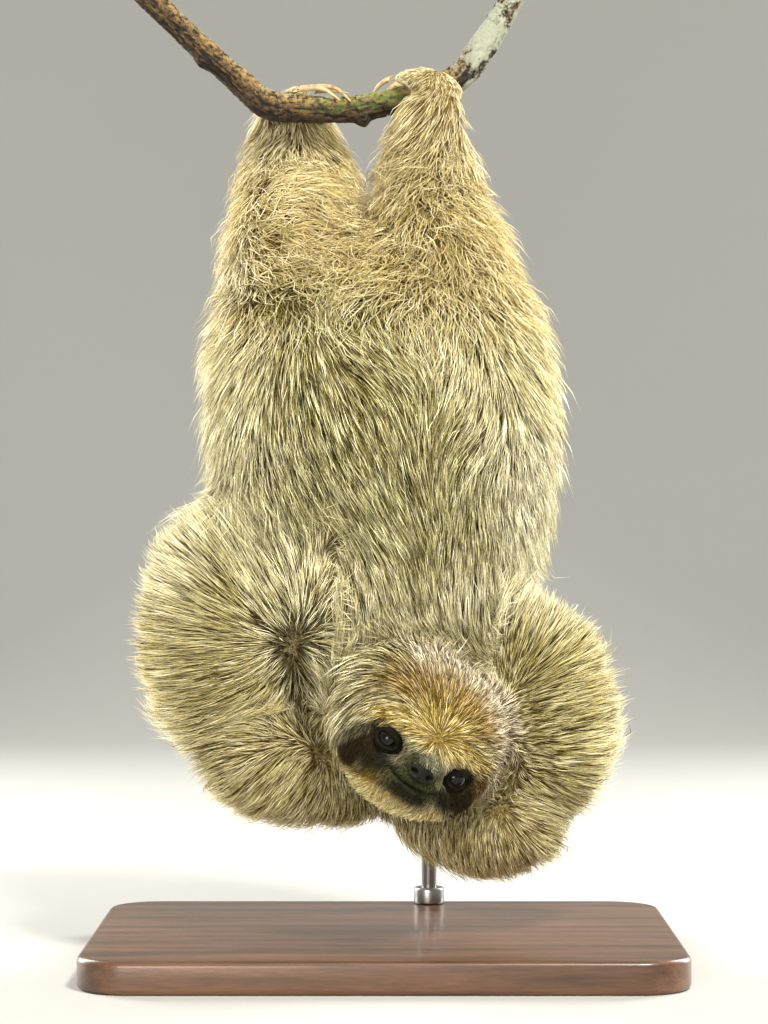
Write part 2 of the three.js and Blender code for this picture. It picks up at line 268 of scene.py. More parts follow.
copies = [copy_of(node) for node in flesh]
clear_selection()
bpy.ops.mesh.primitive_uv_sphere_add(segments=24, ring_count=16, radius=0.017, location=(0, 0, 0))
armpit = bpy.context.object  # closes the hollow between the neck and the folded right arm
armpit.data.transform(Matrix.Translation((-0.034, 0.004, 0.118)))
copies.append(armpit)
for piece in copies:  # each is made a little fatter, so that neighbours run into each other
    set_points(piece.data, points_of(piece.data) + 0.5 * normals_of(piece.data))
clear_selection()
for piece in copies:
    piece.select_set(True)
bpy.context.view_layer.objects.active = copies[0]
bpy.ops.object.join()
skin = bpy.context.object
skin.name = "skin"
skin.data.materials.clear()
apply_modifier(skin, "REMESH", mode="VOXEL", voxel_size=skin_cell * mm)
apply_modifier(skin, "SMOOTH", factor=0.6, iterations=9)

outline = points_of(skin.data)
depth = smoothed(by_part(coat_depth, nearest_part(outline)), edges_of(skin.data), 12)
set_points(skin.data, outline - normals_of(skin.data) * (depth + 0.5)[:, None])
apply_modifier(skin, "REMESH", mode="VOXEL", voxel_size=skin_cell * mm)
apply_modifier(skin, "SMOOTH", factor=0.5, iterations=6)


def group_of(node):
    if node in ("head", "nose"):
        return "head"
    if part_of(node) in ("upper_arm", "forearm", "hand"):
        return node
    return "trunk"


def ease_folds():
    """Fills the deep folds where arms, head and trunk are pressed together."""
    place, pairs = points_of(skin.data), edges_of(skin.data)
    names = sorted({group_of(node) for node in flesh})
    owner = np.array([names.index(group_of(node)) for node in flesh])[nearest_part(place)]
    fold = np.zeros(len(place))
    across = pairs[owner[pairs[:, 0]] != owner[pairs[:, 1]]]
    fold[across.ravel()] = 1.0
    strength = np.clip(smoothed(fold, pairs, 26) * 5.0, 0, 1)
    strength = strength * np.where(owner == names.index("head"), 0.25, 1.0)
    strength = smoothed(strength, pairs, 4)[:, None]
    for _ in range(45):
        place = place + (smoothed(place, pairs, 1) - place) * strength
    set_points(skin.data, place)


ease_folds()

# The head has a frame of its own: x to the animal's left, -y out of the face, z to the crown.
head_at = np.array([16.6, -50.0, 117.4])
head_roll = Matrix.Rotation(math.radians(31), 3, "Y")
head_yaw = Matrix.Rotation(math.radians(10.5), 3, "Z")
head_pitch = Matrix.Rotation(math.radians(-5), 3, "X")
head_turn = np.array(head_roll @ head_yaw @ head_pitch)
eye_at = {"right": np.array([-18.6, -31.2, -10.0]), "left": np.array([18.6, -31.2, -10.0])}
eye_radius = 5.2
head_half = np.array([44.5, 43.0, 43.0])
head_forms = [  # towards, height, reach in degrees: the swellings and hollows of the head
    ((0, -38, -21), 7.5, 22),
    ((0, -49, -17), 2.5, 9),
    ((0, -33, -31), 2.5, 14),
    ((-34, -22, -22), 1.0, 24),
    ((34, -22, -22), 2.5, 24),
    ((-19, -32, -10), -5.5, 13),
    ((19, -32, -10), -5.5, 13),
    ((0, -40, -6), -1.5, 13),
    ((-40, 4, 26), 4.5, 34),
    ((38, 6, 20), 3.5, 38),
]


def to_head(points):
    return (points - head_at) @ head_turn


def from_head(points):
    return points @ head_turn.T + head_at


def length_of(vectors):
    return np.linalg.norm(vectors, axis=-1)


def unit(vectors):
    return vectors / np.maximum(length_of(vectors), 1e-9)[..., None]


def rise(value, low, high):
    """0 below low, 1 above high, and a smooth slope between them."""
    share = np.clip((value - low) / (high - low), 0, 1)
    return share * share * (3 - 2 * share)


def bump(distance, reach):
    return np.exp(-((distance / reach) ** 2))


def head_radius(directions):
    radius = 1 / length_of(directions / head_half)
    for towards, height, reach in head_forms:
        angle = np.degrees(np.arccos(np.clip(directions @ unit(np.array(towards, dtype=float)), -1, 1)))
        radius = radius + height * bump(angle, reach)
    return radius


def mouth_line(x):
    return -24.2 + 0.0155 * x * x


def face_share(local):
    """1 on the short-haired face, 0 on the woolly rest of the head."""
    x, y, z = local.T
    far = np.hypot(x / 31.0, (z + 17.0) / 20.0)
    return (1 - rise(far, 0.8, 1.25)) * rise(-y, 5, 16)


slit_tilt = math.radians(14)  # how far the outer corner of each eye stands above the inner


def eye_axes(side):
    """Out of the eye, along its slit towards the ear, and up."""
    out = unit(eye_at[side] * [0.80, 1.0, 0.55])
    sign = -1.0 if side == "right" else 1.0
    level = unit(np.cross([0, 0, sign], out))
    above = np.cross(out, level) * sign
    cosine, sine = math.cos(slit_tilt), math.sin(slit_tilt)
    return out, level * cosine + above * sine, above * cosine - level * sine


slit_half = np.array([4.9, 3.1])  # half the length and half the height of the opening between the lids


def slit_place(local, side):
    """Where points lie over an eye: across, up, height along the gaze, and 1 at the lid's edge."""
    out, along, up = eye_axes(side)
    offset = local - eye_at[side]
    across, above = offset @ along, offset @ up
    return across, above, offset @ out, np.hypot(across / slit_half[0], above / slit_half[1])


def sculpt_face(local):
    """The bare shape of the face: nose, nostrils, lips, lids and the hollows between them."""
    directions = unit(local)
    front = face_share(local)
    radius = head_radius(directions) - (4.0 - 3.1 * front)
    shaped = directions * radius[:, None]
    x, _, z = shaped.T
    pad = 1 - rise(np.hypot(x / 7.8, (z + 15.4) / 5.6), 0.74, 1.1)
    relief = 1.5 * pad
    for sign in (-1, 1):
        nostril = np.hypot((x - sign * 3.9) / 1.45, (z + 17.0) / 1.15)
        relief = relief - 3.2 * bump(nostril, 0.95) + 0.12 * bump(nostril - 1.75, 0.5)
        wing = np.hypot((x - sign * 7.2) / 1.1, (z + 16.8) / 3.0)
        relief = relief - 0.5 * bump(wing, 0.9)
        fold = np.hypot((x - sign * 12.8) / 1.2, (z + 17.5) / 4.5)
        relief = relief - 0.6 * bump(fold, 1.0)
        lip_pad = np.hypot((x - sign * 6.2) / 5.0, (z + 20.6) / 2.6)
        relief = relief + 0.9 * bump(lip_pad, 1.0)
    below_nose = (z > mouth_line(x)) & (z < -18.5)
    relief = relief - 0.55 * bump(x, 0.8) * below_nose
    off_line = z - mouth_line(x)
    lips = 1 - rise(np.abs(x), 11.5, 15.5)
    relief = relief - 1.5 * bump(off_line, 0.6) * lips
    relief = relief + 0.55 * bump(off_line - 1.9, 1.2) * lips + 0.75 * bump(off_line + 2.1, 1.4) * lips
    relief = relief + 1.0 * bump(np.hypot(x / 9.0, (z + 30.5) / 4.0), 1.0)
    for sign in (-1, 1):
        brow = np.hypot((x - sign * 17.5) / 10.0, (z + 2.5) / 2.6)
        relief = relief + 0.9 * bump(brow, 1.0)
    shaped = shaped + directions * (relief * front)[:, None]
    for side in eye_at:
        out, along, up = eye_axes(side)
        across, above, height, ring = slit_place(shaped, side)
        reach = np.hypot(across, above)
        ball = np.sqrt(np.maximum((eye_radius + 0.45) ** 2 - reach**2, 0.0))
        lid_radius = eye_radius + 0.95
        lid = np.sqrt(np.maximum(lid_radius**2 - (reach * 0.93) ** 2, 0.0))
        wanted = np.where(ring < 1, ball - 2.2, ball + (lid - ball) * rise(ring, 1.02, 1.35))
        crease = 0.3 * bump(ring - 1.8, 0.2)
        share = (1 - rise(ring, 1.55, 2.5)) * (height > 0)
        moved = height + (wanted - height) * share - crease * (height > 0)
        shaped = shaped + out * (moved - height)[:, None]
    return shaped


def split_faces(where, cuts):
    """Splits the skin's faces whose middles satisfy a test on their places in the head's frame."""
    mesh = skin.data
    middles = np.empty(len(mesh.polygons) * 3)
    mesh.polygons.foreach_get("center", middles)
    chosen = where(to_head(middles.reshape(-1, 3) / mm))
    pick(skin)
    bpy.ops.object.mode_set(mode="EDIT")
    bpy.ops.mesh.select_mode(type="FACE")
    bpy.ops.mesh.select_all(action="DESELECT")
    bpy.ops.object.mode_set(mode="OBJECT")
    mesh.polygons.foreach_set("select", chosen)
    bpy.ops.object.mode_set(mode="EDIT")
    bpy.ops.mesh.subdivide(number_cuts=cuts)
    bpy.ops.object.mode_set(mode="OBJECT")


def near_front(local, across, low, high):
    x, y, z = local.T
    on_ball = length_of(local) < 56
    return on_ball & (y < -8) & (np.abs(x) < across) & (z > low) & (z < high)


split_faces(lambda local: near_front(local, 34, -40, 10), 1)
split_faces(lambda local: near_front(local, 29, -36, 2) & (local[:, 1] < -14), 1)

points = points_of(skin.data)
local = to_head(points)
parts = nearest_part(points)
is_head = np.isin(parts, [flesh.index("head"), flesh.index("nose")])
held = smoothed(is_head.astype(float), edges_of(skin.data), 10)
on_front = rise(face_share(local) * rise(held, 0.55, 0.95), 0.02, 0.35)
set_points(skin.data, from_head(local + (sculpt_face(local) - local) * on_front[:, None]))
pick(skin)
bpy.ops.object.shade_smooth()

# What the skin and the coat both know about each place on the body.
points = points_of(skin.data)
normals = normals_of(skin.data)
edges = edges_of(skin.data)
parts = nearest_part(points)


def spot(places, centre, size):
    """1 at the middle of an oval patch, falling smoothly to 0 past its edge."""
    far = length_of((places - np.array(centre, dtype=float)) / np.array(size, dtype=float))
    return 1 - rise(far, 0.6, 1.35)


def spots(places, *ovals):
    """Several oval patches joined: each is a centre and a size."""
    return np.maximum.reduce([spot(places, centre, size) for centre, size in ovals])


def markings(places, parts_at):
    """The animal's markings, with some painted shade and light, as shares from 0 to 1 at places in
    millimetres, three to a list.
    """
    head = to_head(places)
    x, y, z = head.T
    is_head = np.isin(parts_at, [flesh.index("head"), flesh.index("nose")]) * 1.0

    # The face and head, in the head's own frame.
    on_front = rise(-y, -6, 8) * is_head
    flat = np.stack([np.abs(x), z], axis=1)
    signed = np.stack([x, z], axis=1)
    eye_patch = spots(flat, ((19.8, -10.2), (9.8, 7.4)), ((25.5, -15.5), (7.6, 7.0)),
                      ((30.5, -20.5), (6.4, 6.8)), ((30.0, -26.5), (5.4, 4.4)))
    towards_ear = spots(signed, ((-26.0, -9.5), (8.5, 6.2)), ((-32.0, -15.5), (7.0, 7.6)))
    eye_patch = np.maximum(eye_patch, towards_ear * 0.85) * (1 - 0.7 * rise(-x, 32, 40))
    muzzle = spots(flat, ((0, -14.5), (11.5, 9.4)), ((0, -21.0), (17.5, 7.0)), ((0, -26.8), (13.0, 5.2)))
    bridge = spot(signed, (2.5, -10.0), (6.0, 4.0))
    lip = spots(flat, ((0, -27.0), (10.0, 3.5)), ((19.5, -19.5), (9.0, 5.2)))
    lid = np.zeros(len(places))
    for side in eye_at:
        _, _, height, ring = slit_place(head, side)
        lid = np.maximum(lid, (1 - rise(ring, 1.75, 2.35)) * (height > -3))
    gold = spots(flat, ((0, 4.0), (17.0, 9.0)), ((19.0, 1.0), (14.0, 5.5)))
    gold = gold * (1 - eye_patch) * (1 - muzzle)
    crown = rise(z, 4, 15)
    # A pale band round the crown and the animal's left of the head: partly pale hair, partly painted rim
    # light.
    rosy_hair_and_rim_light = rise(np.hypot(x, z + 2), 25, 36) * rise(x * 0.6 + z, 6, 18) * is_head
    buff = spots(signed, ((0, -37.0), (21.0, 5.2)), ((20.0, -31.5), (8.5, 4.6)), ((-17.0, -34.0), (9.0, 4.0)))
    cheek = spots(signed, ((-20.0, -28.0), (9.0, 5.0)), ((32.0, -9.0), (6.0, 7.0))) * (1 - buff)
    hood = rise(-x, 19, 31) * rise(z, -20, 0) * rise(y, -27, -12) * is_head

    # The body: dark streaks with painted shade in creases, in a hollow and beside the head, pale flanks and
    # legs with painted light on some edges, golden rump and undersides of the arms.
    bx, by, bz = places.T
    rump = rise(bz, 290, 350)
    beside = length_of(head / (head_half + 1.0)) * 45 - 45
    # Dark streaks on the back; the ovals in the right thigh's crease, along the trunk's crease and in the
    # hollow beside it are painted shade.
    dark_streak_and_shade = spots(places, ((-18, -60, 282), (38, 60, 46)), ((18, -60, 250), (26, 60, 50)),
                   ((-54, -60, 335), (17, 70, 9)), ((-32, -60, 320), (16, 60, 16)),
                   ((40, -60, 262), (4.5, 60, 20)), ((43, -60, 226), (4, 60, 18)),
                   ((52, -60, 247), (5, 60, 4)))
    # Darker where the right arm meets the trunk: painted shade.
    dark_streak_and_shade = np.maximum(dark_streak_and_shade, spot(places, (-25, -60, 232), (40, 60, 26)) * 0.8)
    # Darker all round just outside the head: painted shade.
    dark_streak_and_shade = np.maximum(dark_streak_and_shade, 1 - rise(beside, 2, 18))
    to_belly = rise(by, -24, 10)
    pale = rise(bx, 46, 70) * rise(bz, 150, 190) * (1 - rise(bz, 262, 285)) * (1 - 0.7 * to_belly)
    pale = np.maximum(pale, rise(-bx, 62, 76) * rise(bz, 318, 340) * (1 - 0.7 * to_belly))
    # Paler along the outer edge of the right flank: painted rim light.
    pale = np.maximum(pale, rise(-bx, 68, 88) * rise(bz, 224, 236) * 0.6)
    # The top of the right arm is paler, less so round its back: partly pale hair, partly a painted highlight.
    arm_top = rise(-bx, 66, 92) * rise(bz, 160, 196) * (1 - rise(bz, 228, 238))
    pale = np.maximum(pale, arm_top * (0.6 - 0.4 * rise(by, -30, 4)))
    # The outer edge of the left arm is paler, less so round its back: painted rim light.
    arm_side = rise(bx, 90, 108) * (1 - rise(bz, 200, 212))
    pale = np.maximum(pale, arm_side * (0.35 - 0.2 * rise(by, -24, 4)))
    # Paler high on the legs under the branch, most on their outer sides: partly pale hair, partly painted
    # light that lifts the branch's shadow.
    pale = np.maximum(pale, rise(bz, 372, 416) * (0.4 - 0.28 * rise(bx, -56, -34) + 0.2 * rise(bx, 26, 42)))
    pale = np.maximum(pale, spot(places, (38, -60, 197), (11, 60, 8)) * 0.8)
    feet = np.array([part_of(node) == "foot" for node in flesh])[parts_at] * 1.0
    arm = np.array([group_of(node) not in ("head", "trunk") for node in flesh])[parts_at] * 1.0
    golden = spots(places, ((-50, -50, 98), (36, 60, 34)), ((52, -40, 62), (40, 60, 24))) * 0.7
    rump = np.maximum(rump, golden)
    # The arm's own tone gives way near the head, so that the painted shade there shows, and on the golden
    # undersides.
    beside_face = np.maximum((1 - rise(beside, 4, 14)) * 0.7, golden)

    face = np.stack([eye_patch * on_front, muzzle * on_front, gold * on_front], axis=1)
    snout = np.stack([bridge * on_front, lip * on_front, lid * on_front], axis=1)
    ruff = np.stack([crown * is_head, buff * on_front, cheek * on_front], axis=1)
    rim = np.stack([hood, rosy_hair_and_rim_light, np.maximum(pale, feet * 0.3)], axis=1)
    body = np.stack([rump, dark_streak_and_shade * (1 - is_head), arm * (1 - beside_face)], axis=1)
    return face, snout, ruff, rim, body


face_marks, snout_marks, ruff_marks, rim_marks, body_marks = markings(points, parts)
rim_marks, body_marks = smoothed(rim_marks, edges, 4), smoothed(body_marks, edges, 8)
mark_names = ("Face Marks", "Snout Marks", "Ruff Marks", "Rim Marks", "Body Marks")
marks = dict(zip(mark_names, (face_marks, snout_marks, ruff_marks, rim_marks, body_marks)))


def keep_vectors(mesh, name, values):
    attribute = mesh.attributes.new(name, "FLOAT_VECTOR", "POINT")
    attribute.data.foreach_set("vector", np.ascontiguousarray(values, dtype=np.float32).ravel())


def keep_marks(mesh, found):
    for name, values in found.items():
        keep_vectors(mesh, name.lower().replace(" ", "_"), values)


keep_marks(skin.data, marks)
head_x, _, head_z = to_head(points).T
on_snout = face_marks[:, 1] > 0.3
nose_pad = (1 - rise(np.hypot(head_x / 7.9, (head_z + 16.6) / 4.9), 0.7, 1.25)) * on_snout
mouth_shade = bump(head_z - mouth_line(head_x), 0.6) * (1 - rise(np.abs(head_x), 11, 13.5)) * on_snout
keep_vectors(skin.data, "bare_skin", np.stack([nose_pad, mouth_shade, np.zeros(len(points))], axis=1))

hair_tones = {  # name: colour near the skin, colour at the tip
    "body": (tone(57, 43, 4), tone(241, 232, 184)),
    "rump": (tone(102, 75, 14), tone(226, 208, 148)),
    "dark_streak_and_shade": (tone(39, 30, 3), tone(240, 232, 176)),
    "arm": (tone(59, 44, 4), tone(211, 198, 138)),
    "pale": (tone(98, 81, 28), tone(247, 240, 206)),
    "crown": (tone(60, 43, 8), tone(202, 174, 102)),
    "rosy_hair_and_rim_light": (tone(84, 64, 26), tone(255, 242, 210)),
    "hood": (tone(48, 34, 6), tone(252, 243, 192)),
    "gold": (tone(78, 55, 8), tone(244, 222, 144)),
    # The chin's buff hair, made lighter still to lift the shade under the head: partly painted light.
    "buff": (tone(200, 168, 80), tone(255, 244, 176)),
    "cheek": (tone(64, 50, 16), tone(156, 130, 68)),
    "muzzle": (tone(26, 28, 10), tone(74, 75, 42)),
    "bridge": (tone(66, 66, 46), tone(150, 148, 118)),
    "lip": (tone(26, 26, 14), tone(52, 50, 31)),
    "eye_patch": (tone(26, 20, 2), tone(54, 43, 12)),
    "lid": (tone(24, 21, 9), tone(34, 30, 15)),
}
mark_order = [  # later ones lie over earlier ones: name, attribute, which of its three numbers
    ("rump", "Body Marks", 0), ("dark_streak_and_shade", "Body Marks", 1), ("arm", "Body Marks", 2),
    ("pale", "Rim Marks", 2), ("crown", "Ruff Marks", 0), ("rosy_hair_and_rim_light", "Rim Marks", 1),
    ("hood", "Rim Marks", 0), ("cheek", "Ruff Marks", 2), ("buff", "Ruff Marks", 1),
    ("gold", "Face Marks", 2), ("muzzle", "Face Marks", 1), ("bridge", "Snout Marks", 0),
    ("lip", "Snout Marks", 1), ("eye_patch", "Face Marks", 0), ("lid", "Snout Marks", 2),
]


def group_socket(group, name, kind, out=False):
    way = "OUTPUT" if out else "INPUT"
    group.interface.new_socket(name=name, in_out=way, socket_type=f"NodeSocket{kind}")


def ranged(nodes, links, source, to_low, to_high, from_low=0.0, from_high=1.0):
    """A value stretched from one range to another."""
    node = nodes.new("ShaderNodeMapRange")
    node.inputs["From Min"].default_value = from_low
    node.inputs["From Max"].default_value = from_high
    node.inputs["To Min"].default_value = to_low
    node.inputs["To Max"].default_value = to_high
    links.new(source, node.inputs["Value"])
    return node.outputs[0]


def laid_over(nodes, links, below, colour, mask):
    """A colour laid over another, a fixed one or one from a node, where a mask is 1."""
    mix = nodes.new("ShaderNodeMix")
    mix.data_type = "RGBA"
    links.new(mask, mix.inputs["Factor"])
    if isinstance(below, tuple):
        mix.inputs["A"].default_value = below
    else:
        links.new(below, mix.inputs["A"])
    mix.inputs["B"].default_value = colour
    return mix.outputs["Result"]


def make_markings_group():
    """Mixes the colours of the markings and their painted shade and light, near the skin and at the tip, and
    joins them along a hair.
    """
    group = bpy.data.node_groups.new("sloth_markings", "ShaderNodeTree")
    for name in mark_names:
        group_socket(group, name, "Vector")
    for name in ("Along", "Tint"):
        group_socket(group, name, "Float")
    group_socket(group, "Color", "Color", out=True)
    group_socket(group, "Muzzle", "Float", out=True)
    nodes, links = group.nodes, group.links
    start, end = nodes.new("NodeGroupInput"), nodes.new("NodeGroupOutput")
    split = {}
    for name in mark_names:
        split[name] = nodes.new("ShaderNodeSeparateXYZ")
        links.new(start.outputs[name], split[name].inputs[0])
    ends = []
    for layer in (0, 1):
        colour = hair_tones["body"][layer]
        for name, attribute, number in mark_order:
            mask = split[attribute].outputs[number]
            colour = laid_over(nodes, links, colour, hair_tones[name][layer], mask)
        ends.append(colour)
    along = nodes.new("ShaderNodeMix")
    along.data_type = "RGBA"
    links.new(start.outputs["Along"], along.inputs["Factor"])
    links.new(ends[0], along.inputs["A"])
    links.new(ends[1], along.inputs["B"])
    tint = nodes.new("ShaderNodeHueSaturation")
    links.new(along.outputs["Result"], tint.inputs["Color"])
    links.new(start.outputs["Tint"], tint.inputs["Value"])
    deeper = ranged(nodes, links, start.outputs["Tint"], 1.6, 0.72, 0.2, 1.3)
    links.new(deeper, tint.inputs["Saturation"])
    browner = ranged(nodes, links, start.outputs["Tint"], 0.482, 0.5, 0.2, 0.95)
    links.new(browner, tint.inputs["Hue"])
    links.new(tint.outputs["Color"], end.inputs["Color"])
    links.new(split["Face Marks"].outputs[1], end.inputs["Muzzle"])
    return group


markings_group = make_markings_group()


def attribute_node(nodes, name):
    node = nodes.new("ShaderNodeAttribute")
    node.attribute_name = name
    return node


def place_markings(material):
    """Puts the markings group in a material, fed by the piece's own attributes."""
    nodes, links = material.node_tree.nodes, material.node_tree.links
    group = nodes.new("ShaderNodeGroup")
    group.node_tree = markings_group
    for name in mark_names:
        kept = attribute_node(nodes, name.lower().replace(" ", "_"))
        links.new(kept.outputs["Vector"], group.inputs[name])
    return group


def noise_at(nodes, links, source, scale, detail=4.0, roughness=0.6):
    node = nodes.new("ShaderNodeTexNoise")
    node.inputs["Scale"].default_value = scale
    node.inputs["Detail"].default_value = detail
    node.inputs["Roughness"].default_value = roughness
    links.new(source, node.inputs["Vector"])
    return node.outputs["Fac"]


def add_relief(material, source, strength, distance):
    """A fine relief on the whole surface of a material."""
    nodes, links = material.node_tree.nodes, material.node_tree.links
    relief = nodes.new("ShaderNodeBump")
    relief.inputs["Strength"].default_value = strength
    relief.inputs["Distance"].default_value = distance
    links.new(source, relief.inputs["Height"])
    links.new(relief.outputs["Normal"], nodes["Principled BSDF"].inputs["Normal"])


def skin_material():
    material, nodes, links, shader = begin_material("hide", tone(60, 48, 30), 0.75)
    place = nodes.new("ShaderNodeTexCoord").outputs["Object"]
    group = place_markings(material)
    mottle = noise_at(nodes, links, place, 900.0)
    links.new(ranged(nodes, links, mottle, 0.0, 0.4, 0.35, 0.7), group.inputs["Along"])
    broad = noise_at(nodes, links, place, 60.0)
    links.new(ranged(nodes, links, broad, 0.6, 1.05), group.inputs["Tint"])
    naked = nodes.new("ShaderNodeSeparateXYZ")
    links.new(attribute_node(nodes, "bare_skin").outputs["Vector"], naked.inputs[0])
    colour = laid_over(nodes, links, group.outputs["Color"], tone(19, 20, 12), naked.outputs[0])
    colour = laid_over(nodes, links, colour, tone(8, 7, 4), naked.outputs[1])
    links.new(colour, shader.inputs["Base Color"])
    links.new(ranged(nodes, links, group.outputs["Muzzle"], 0.8, 0.5), shader.inputs["Roughness"])
    shader.inputs["Specular IOR Level"].default_value = 0.12
    pores = nodes.new("ShaderNodeTexVoronoi")
    pores.inputs["Scale"].default_value = 1100.0
    links.new(place, pores.inputs["Vector"])
    add_relief(material, pores.outputs["Distance"], 0.35, 0.25 * mm)
    return material


skin.data.materials.append(skin_material())
edit_all(skin, bpy.ops.uv.smart_project, angle_limit=math.radians(72), island_margin=0.004)
skin.data.uv_layers[0].name = "OFBake"
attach(skin, "root")
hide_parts(*flesh)

# ---------------------------------------------------------------------------------------------
# Eyes. Two dark brown glass balls are set behind the lids, each with a slight bulge over the iris.
# A rim of bare dark skin, a moulded ring, borders each opening.
# ---------------------------------------------------------------------------------------------
eye_rings = [  # radians from the middle of the gaze, and the colour there
    (0.0, tone(3, 2, 1)), (0.24, tone(4, 3, 1)), (0.30, tone(12, 9, 4)), (0.55, tone(18, 14, 6)),
    (0.72, tone(6, 4, 2)),
]


def ramp_of(nodes, links, source, stops):
    """Colours that follow a value through a list of stops."""
    ramp = nodes.new("ShaderNodeValToRGB")
    elements = ramp.color_ramp.elements
    elements[0].position, elements[0].color = stops[0]
    elements[1].position, elements[1].color = stops[-1]
    for position, colour in stops[1:-1]:
        elements.new(position).color = colour
    links.new(source, ramp.inputs["Fac"])
    return ramp.outputs["Color"]


def eye_material():
    material, nodes, links, shader = begin_material("eye_glass", tone(30, 20, 12), 0.12)
    gaze = nodes.new("ShaderNodeSeparateXYZ")
    links.new(attribute_node(nodes, "gaze").outputs["Vector"], gaze.inputs[0])
    streaks = nodes.new("ShaderNodeCombineXYZ")
    links.new(gaze.outputs[1], streaks.inputs[0])
    links.new(gaze.outputs[2], streaks.inputs[1])
    fibres = noise_at(nodes, links, streaks.outputs[0], 9.0, 6.0, 0.7)
    shade = nodes.new("ShaderNodeHueSaturation")
    links.new(ramp_of(nodes, links, gaze.outputs[0], eye_rings), shade.inputs["Color"])
    links.new(ranged(nodes, links, fibres, 0.45, 1.7, 0.3, 0.7), shade.inputs["Value"])
    links.new(shade.outputs["Color"], shader.inputs["Base Color"])
    shader.inputs["Roughness"].default_value = 0.05
    shader.inputs["Specular IOR Level"].default_value = 0.27
    return material


eye_finish = eye_material()
rim_finish = plain_material("lid_rim", tone(16, 13, 7), 0.6)
rim_finish.node_tree.nodes["Principled BSDF"].inputs["Specular IOR Level"].default_value = 0.1
rim_thickness = 3.6  # how many times the plain ring's own thickness, in millimetres
for side in ("right", "left"):
    out, along, up = eye_axes(side)
    clear_selection()
    bpy.ops.mesh.primitive_uv_sphere_add(segments=48, ring_count=32, radius=eye_radius * mm)
    eye = bpy.context.object
    eye.name = f"eyeball_{side}"
    ball = points_of(eye.data)
    angle = np.arccos(np.clip(unit(ball)[:, 2], -1, 1))
    ball *= (1 + 0.02 * bump(angle, 0.62))[:, None]
    turn = np.stack([along, up, out], axis=1)
    spin = np.arctan2(ball[:, 1], ball[:, 0])
    keep_vectors(eye.data, "gaze", np.stack([angle, np.cos(spin) + 2, np.sin(spin) + 2], axis=1))
    set_points(eye.data, from_head(eye_at[side] + ball @ turn.T))
    if np.linalg.det(turn) < 0:
        edit_all(eye, bpy.ops.mesh.flip_normals)
    pick(eye)
    bpy.ops.object.shade_smooth()
    eye.data.materials.append(eye_finish)
    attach(eye, "root")
    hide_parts(f"eye_{side}")

    clear_selection()
    bpy.ops.mesh.primitive_torus_add(major_segments=72, minor_segments=10, major_radius=1.0, minor_radius=0.1)
    rim = bpy.context.object
    rim.name = f"lid_rim_{side}"
    ring = points_of(rim.data) * mm  # its radius is 1 here, and it is shaped in millimetres below
    turned = np.arctan2(ring[:, 1], ring[:, 0])
    fat = np.hypot(ring[:, 0], ring[:, 1]) - 1.0
    across = np.cos(turned) * (slit_half[0] + fat * rim_thickness)
    above = np.sin(turned) * (slit_half[1] + fat * rim_thickness)
    seat = np.sqrt(np.maximum((eye_radius + 0.32) ** 2 - across**2 - above**2, 0.0))
    lift = seat + ring[:, 2] * rim_thickness
    placed = eye_at[side] + across[:, None] * along + above[:, None] * up + lift[:, None] * out
    set_points(rim.data, from_head(placed))
    edit_all(rim, bpy.ops.mesh.normals_make_consistent, inside=False)
    bpy.ops.object.shade_smooth()
    rim.data.materials.append(rim_finish)
    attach(rim, "root")

